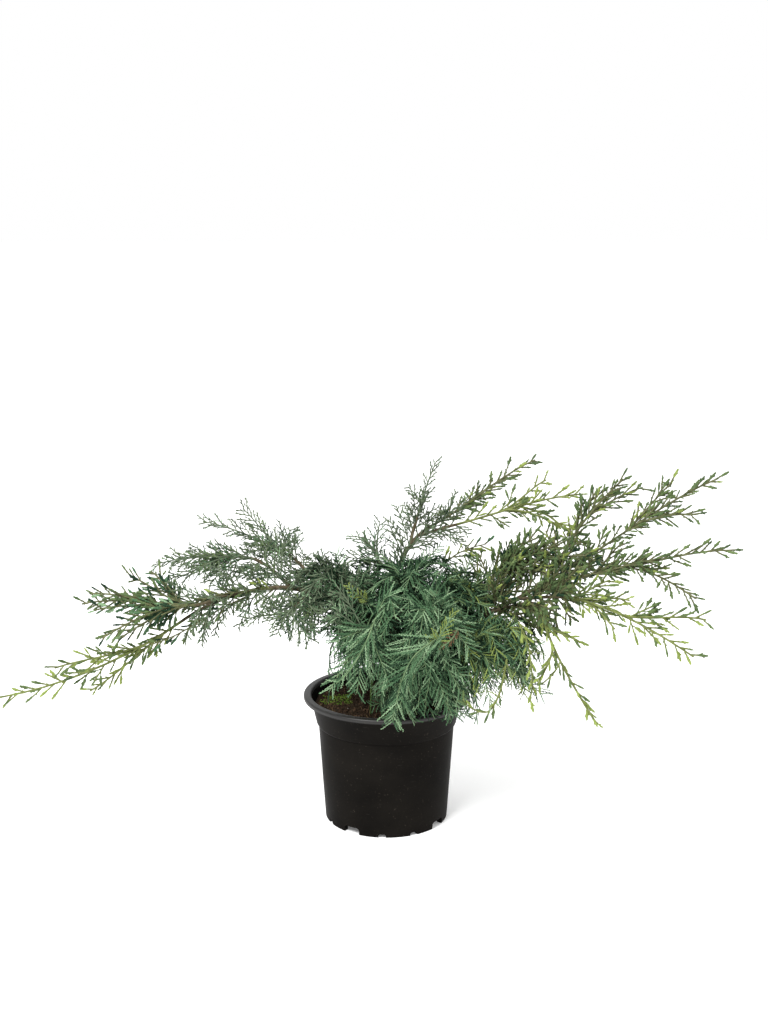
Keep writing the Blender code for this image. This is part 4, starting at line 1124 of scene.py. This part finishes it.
def make_boughs(bark):
    """The bark of every bough in one piece; the boughs' curves, with the trunk's, by name."""
    curves = {"trunk": trunk_curve()}
    parts = []
    for name, (parent, share, out, tip, arrive, root_mm) in BOUGHS.items():
        root, root_r = bezier(curves[parent], share), root_mm * MM
        curves[name] = (root, root + out, tip - arrive, tip)
        verts, faces = bark_tube(curves[name], lambda t: root_r + (STEM_R - root_r) * t ** GIRTH_FALL,
                                 14, 2.2 * MM)
        parts.append(add_mesh(name + "_bark", verts, faces, bark))
    piece = join_objects("bark_boughs", parts, bark)
    piece.data.shade_smooth()
    settle(piece, "bough_bark", *BOUGHS)
    return curves


# Pot

def arc(centre_r, centre_z, radius, start_deg, steps=5):
    """A quarter of a circle in the profile's plane."""
    for i in range(steps + 1):
        a = math.radians(start_deg + 90 * i / steps)
        yield centre_r + radius * math.cos(a), centre_z + radius * math.sin(a)


def pot_profile():
    """Radius and height, from the middle of the foot up the outside and down the inside."""
    step_foot = STEP_Z - STEP_HEIGHT
    lip_z = POT_HEIGHT - LIP_HEIGHT
    mouth_r = RIM_R - LIP_WIDTH
    floor_top = FLOOR_Z + FLOOR_THICK
    foot_r = BASE_R - FOOT_WIDTH
    r = LIP_ROUND
    points = [(0, 0), (CENTRE_FOOT_R, 0), (CENTRE_FOOT_R, FLOOR_Z), (foot_r, FLOOR_Z), (foot_r, 0),
              (BASE_R - BASE_BEVEL, 0), (BASE_R, BASE_BEVEL)]
    points += [(BASE_R + (BODY_TOP_R - BASE_R) * i / BODY_RINGS,
                BASE_BEVEL + (step_foot - BASE_BEVEL) * i / BODY_RINGS)
               for i in range(1, BODY_RINGS + 1)]
    points += [(BODY_TOP_R + 0.9 * MM, step_foot + 0.5 * MM), (COLLAR_FOOT_R - 0.4 * MM, STEP_Z - 0.9 * MM),
               (COLLAR_FOOT_R, STEP_Z), (mouth_r, lip_z - 0.6 * MM), (mouth_r + 0.7 * MM, lip_z)]
    points += arc(RIM_R - r, lip_z + r, r, -90)
    points += arc(RIM_R - r, POT_HEIGHT - r, r, 0)
    points += arc(mouth_r + r, POT_HEIGHT - r, r, 90)
    points += [(COLLAR_FOOT_R - WALL, STEP_Z), (BODY_TOP_R - WALL, step_foot),
               (BASE_R - WALL, floor_top), (0, floor_top)]
    return points


def turned(name, profile, material):
    """A solid of revolution about Z; the profile's first and last points are on the axis."""
    verts = [(0, 0, profile[0][1])]
    for r, z in profile[1:-1]:
        for i in range(ROUND_SIDES):
            a = math.tau * i / ROUND_SIDES
            verts.append((r * math.cos(a), r * math.sin(a), z))
    verts.append((0, 0, profile[-1][1]))
    rings = len(profile) - 2
    faces = []
    top = 1 + (rings - 1) * ROUND_SIDES
    for i in range(ROUND_SIDES):
        j = (i + 1) % ROUND_SIDES
        faces.append((0, 1 + j, 1 + i))
        for k in range(rings - 1):
            low, high = 1 + k * ROUND_SIDES, 1 + (k + 1) * ROUND_SIDES
            faces.append((low + i, low + j, high + j, high + i))
        faces.append((top + i, top + j, len(verts) - 1))
    return add_mesh(name, verts, faces, material)


def notch_cutter(turn, width, height):
    """A round-cornered block through the pot's foot."""
    out = Vector((math.sin(turn), -math.cos(turn), 0))
    across = Vector((-out.y, out.x, 0))
    corner = min(height * 0.6, NOTCH_CORNER)
    rounds = [i * math.pi / 6 for i in range(4)]
    side, top = width / 2 - corner, height - corner
    shape = [(-width / 2, -FOOT_WIDTH)]
    shape += [(-side - corner * math.cos(a), top + corner * math.sin(a)) for a in rounds]
    shape += [(side + corner * math.sin(a), top + corner * math.cos(a)) for a in rounds]
    shape += [(width / 2, -FOOT_WIDTH)]
    verts = []
    for r in (BASE_R - 2 * FOOT_WIDTH, BASE_R + FOOT_WIDTH):
        verts += [out * r + across * x + Vector((0, 0, z)) for x, z in shape]
    n = len(shape)
    faces = [tuple(range(n)), tuple(reversed(range(n, 2 * n)))]
    faces += [(i, n + i, n + (i + 1) % n, (i + 1) % n) for i in range(n)]
    return add_mesh("notch_cutter", verts, faces, None)


def make_pot():
    pot = turned("nursery_pot", pot_profile(), plastic_finish())
    for i in range(NOTCHES):
        width, height = NARROW_NOTCH if i % WIDE_NOTCH_EVERY else WIDE_NOTCH
        cutter = notch_cutter(math.radians(FIRST_WIDE_NOTCH_DEG + i * 360 / NOTCHES), width, height)
        cut = pot.modifiers.new("notch", "BOOLEAN")
        cut.operation = "DIFFERENCE"
        cut.object = cutter
        graph = bpy.context.evaluated_depsgraph_get()
        mesh = bpy.data.meshes.new_from_object(pot.evaluated_get(graph))
        pot.modifiers.remove(cut)
        pot.data = mesh
        bpy.data.objects.remove(cutter, do_unlink=True)
    pot.data.shade_smooth()
    pot.data.set_sharp_from_angle(angle=math.radians(SHARP_ANGLE_DEG))
    settle(pot, "dark_plastic", "pot")


# Soil

def soil_height(x, y):
    r = math.hypot(x, y) / SOIL_R
    lift = SOIL_EDGE + (SOIL_TOP - SOIL_EDGE) * max(0, 1 - r * r)
    return lift + SOIL_LUMPS * noise.fractal(Vector((x, y, 0)) * 60, 0.8, 2.0, 4)


def make_soil():
    """The lumpy bed, down to a narrower foot that stays inside the pot's wall."""
    turns = [math.tau * i / SOIL_SIDES for i in range(SOIL_SIDES)]
    verts = [(0, 0, soil_height(0, 0))]
    for k in range(1, SOIL_RINGS + 1):
        r = SOIL_R * k / SOIL_RINGS
        for a in turns:
            x, y = r * math.cos(a), r * math.sin(a)
            verts.append((x, y, soil_height(x, y)))
    foot = len(verts)
    verts += [(SOIL_FOOT_R * math.cos(a), SOIL_FOOT_R * math.sin(a), SOIL_FOOT_Z) for a in turns]
    faces = []
    for i in range(SOIL_SIDES):
        j = (i + 1) % SOIL_SIDES
        faces.append((0, 1 + i, 1 + j))
        for k in range(SOIL_RINGS):
            a, b = 1 + k * SOIL_SIDES, 1 + (k + 1) * SOIL_SIDES
            faces.append((a + i, b + i, b + j, a + j))
    faces.append(tuple(reversed(range(foot, foot + SOIL_SIDES))))
    soil = add_mesh("soil_bed", verts, faces, soil_finish())
    settle(soil, "potting_soil", "potting_soil")
    strew(soil)


def lump(name, squash, roughness, seed):
    bm = bmesh.new()
    bmesh.ops.create_icosphere(bm, subdivisions=1, radius=1)
    for v in bm.verts:
        v.co *= 1 + roughness * noise.noise(v.co * 1.7 + Vector((seed, 0, 0)))
        v.co = Vector((v.co.x * squash[0], v.co.y * squash[1], v.co.z * squash[2]))
    return bpy.data.objects.new(name, mesh_from(name, bm))


def surface_part(obj, inside):
    """The upward faces of a mesh whose middles lie inside an outline."""
    bm = bmesh.new()
    bm.from_mesh(obj.data)
    bm.normal_update()
    gone = [f for f in bm.faces
            if f.normal.z < 0.3 or not inside(*f.calc_center_median().xy)]
    bmesh.ops.delete(bm, geom=gone, context="FACES")
    return mesh_from(obj.name + "_part", bm)


def in_moss(x, y):
    far = math.hypot(x - MOSS_CENTRE[0], y - MOSS_CENTRE[1])
    return far < MOSS_R + MOSS_WOBBLE * noise.noise(Vector((x, y, 0)) * 90)


def strew(soil):
    """Crumbs, bark chips, pale grit, dry needles and moss on the soil."""
    tree = scatter_tree()
    crumb = lump("crumb", (1, 0.85, 0.7), 0.5, 3)
    chip = lump("chip", (1, 0.45, 0.16), 0.3, 7)
    needle = lump("needle", (1, 0.07, 0.07), 0.1, 9)
    top = surface_part(soil, lambda x, y: math.hypot(x, y) < SOIL_R - 2.5 * MM)
    mossy = surface_part(soil, in_moss)
    # name, surface, model, number in a square metre, sizes, and finish: name, colours, roughness
    bits = [
        # the crumbs', chips', grit's and needles' own colours, darkened overall, partly as painted shade
        # under the foliage
        ("soil_crumbs", top, crumb, 90000, (0.0007, 0.0022),
         ("soil_crumb", (0.011, 0.007, 0.004), (0.050, 0.031, 0.019), 0.95)),
        ("bark_chips", top, chip, 9000, (0.002, 0.0060),
         ("bark_chip", (0.034, 0.020, 0.012), (0.120, 0.075, 0.045), 0.85)),
        ("pale_grit", top, crumb, 400, (0.0009, 0.0019),
         ("pale_grit", (0.30, 0.28, 0.24), (0.52, 0.50, 0.44), 0.8)),
        ("dry_needles", top, needle, 6500, (0.004, 0.0090),
         ("dry_needle", (0.070, 0.045, 0.022), (0.180, 0.120, 0.065), 0.8)),
        ("moss_tufts", mossy, crumb, 240000, (0.0008, 0.0018),
         ("moss", (0.045, 0.090, 0.012), (0.150, 0.230, 0.036), 0.9)),
    ]
    for seed, (name, surface, model, density, (small, large), finish) in enumerate(bits, 11):
        piece = grown(name, surface.copy(), tree, Model=model, Density=float(density), Smallest=small,
                      Largest=large, Seed=seed, Material=plain_finish(*finish))
        dress(piece)


def make_stick(limbs):
    """A thin green stick left standing in the soil."""
    course = [mm(-18, -40, 132), mm(-17.5, -41, 150), mm(-17, -43, 164), mm(-16, -46, 178)]
    path = mesh_with("stick_path", course, edges=[(0, 1), (1, 2), (2, 3)], girth=[STICK_R] * 4)
    finish = plain_finish("green_stick", (0.060, 0.110, 0.030), (0.120, 0.190, 0.060), 0.6)
    dress(grown("green_stick", path, limbs, Sides=8, Material=finish))


# Stage

def make_floor():
    bpy.ops.mesh.primitive_plane_add(size=FLOOR_SIZE)
    floor = bpy.context.object
    floor.name = "studio_floor"
    material = bpy.data.materials.new("pale_floor")
    material.use_nodes = True
    shader = material.node_tree.nodes["Principled BSDF"].inputs
    shader["Base Color"].default_value = FLOOR_COLOUR
    shader["Roughness"].default_value = 0.9
    shader["Emission Color"].default_value = WHITE
    shader["Emission Strength"].default_value = FLOOR_GLOW
    floor.data.materials.append(material)


def make_light():
    world = bpy.data.worlds.new("studio")
    world.use_nodes = True
    sky = world.node_tree.nodes["Background"].inputs
    sky["Color"].default_value = WHITE
    sky["Strength"].default_value = 1.0
    bpy.context.scene.world = world
    for name, (place, size, power) in LIGHTS.items():
        light = bpy.data.lights.new(name, "AREA")
        light.size = size
        light.energy = power
        obj = placed(name, light)
        obj.location = place
        obj.rotation_euler = (LIGHTS_AIM - obj.location).to_track_quat("-Z", "Y").to_euler()


def make_camera():
    data = bpy.data.cameras.new("camera")
    data.lens = LENS_MM
    data.sensor_width = SENSOR_MM
    camera = placed("camera", data)
    pitch = math.radians(CAMERA_PITCH_DEG)
    forward = Vector((0, math.cos(pitch), -math.sin(pitch)))
    camera.location = CAMERA_AIM - forward * CAMERA_DISTANCE
    camera.rotation_euler = (math.pi / 2 - pitch, 0, 0)
    bpy.context.scene.camera = camera
    bpy.context.scene.view_settings.view_transform = "Standard"


make_camera()
make_floor()
make_light()
limb_paths = limb_tree()
make_pot()
make_soil()
make_stick(limb_paths)
bark = bark_finish()
make_trunk(bark)
grow_foliage(make_boughs(bark), limb_paths)
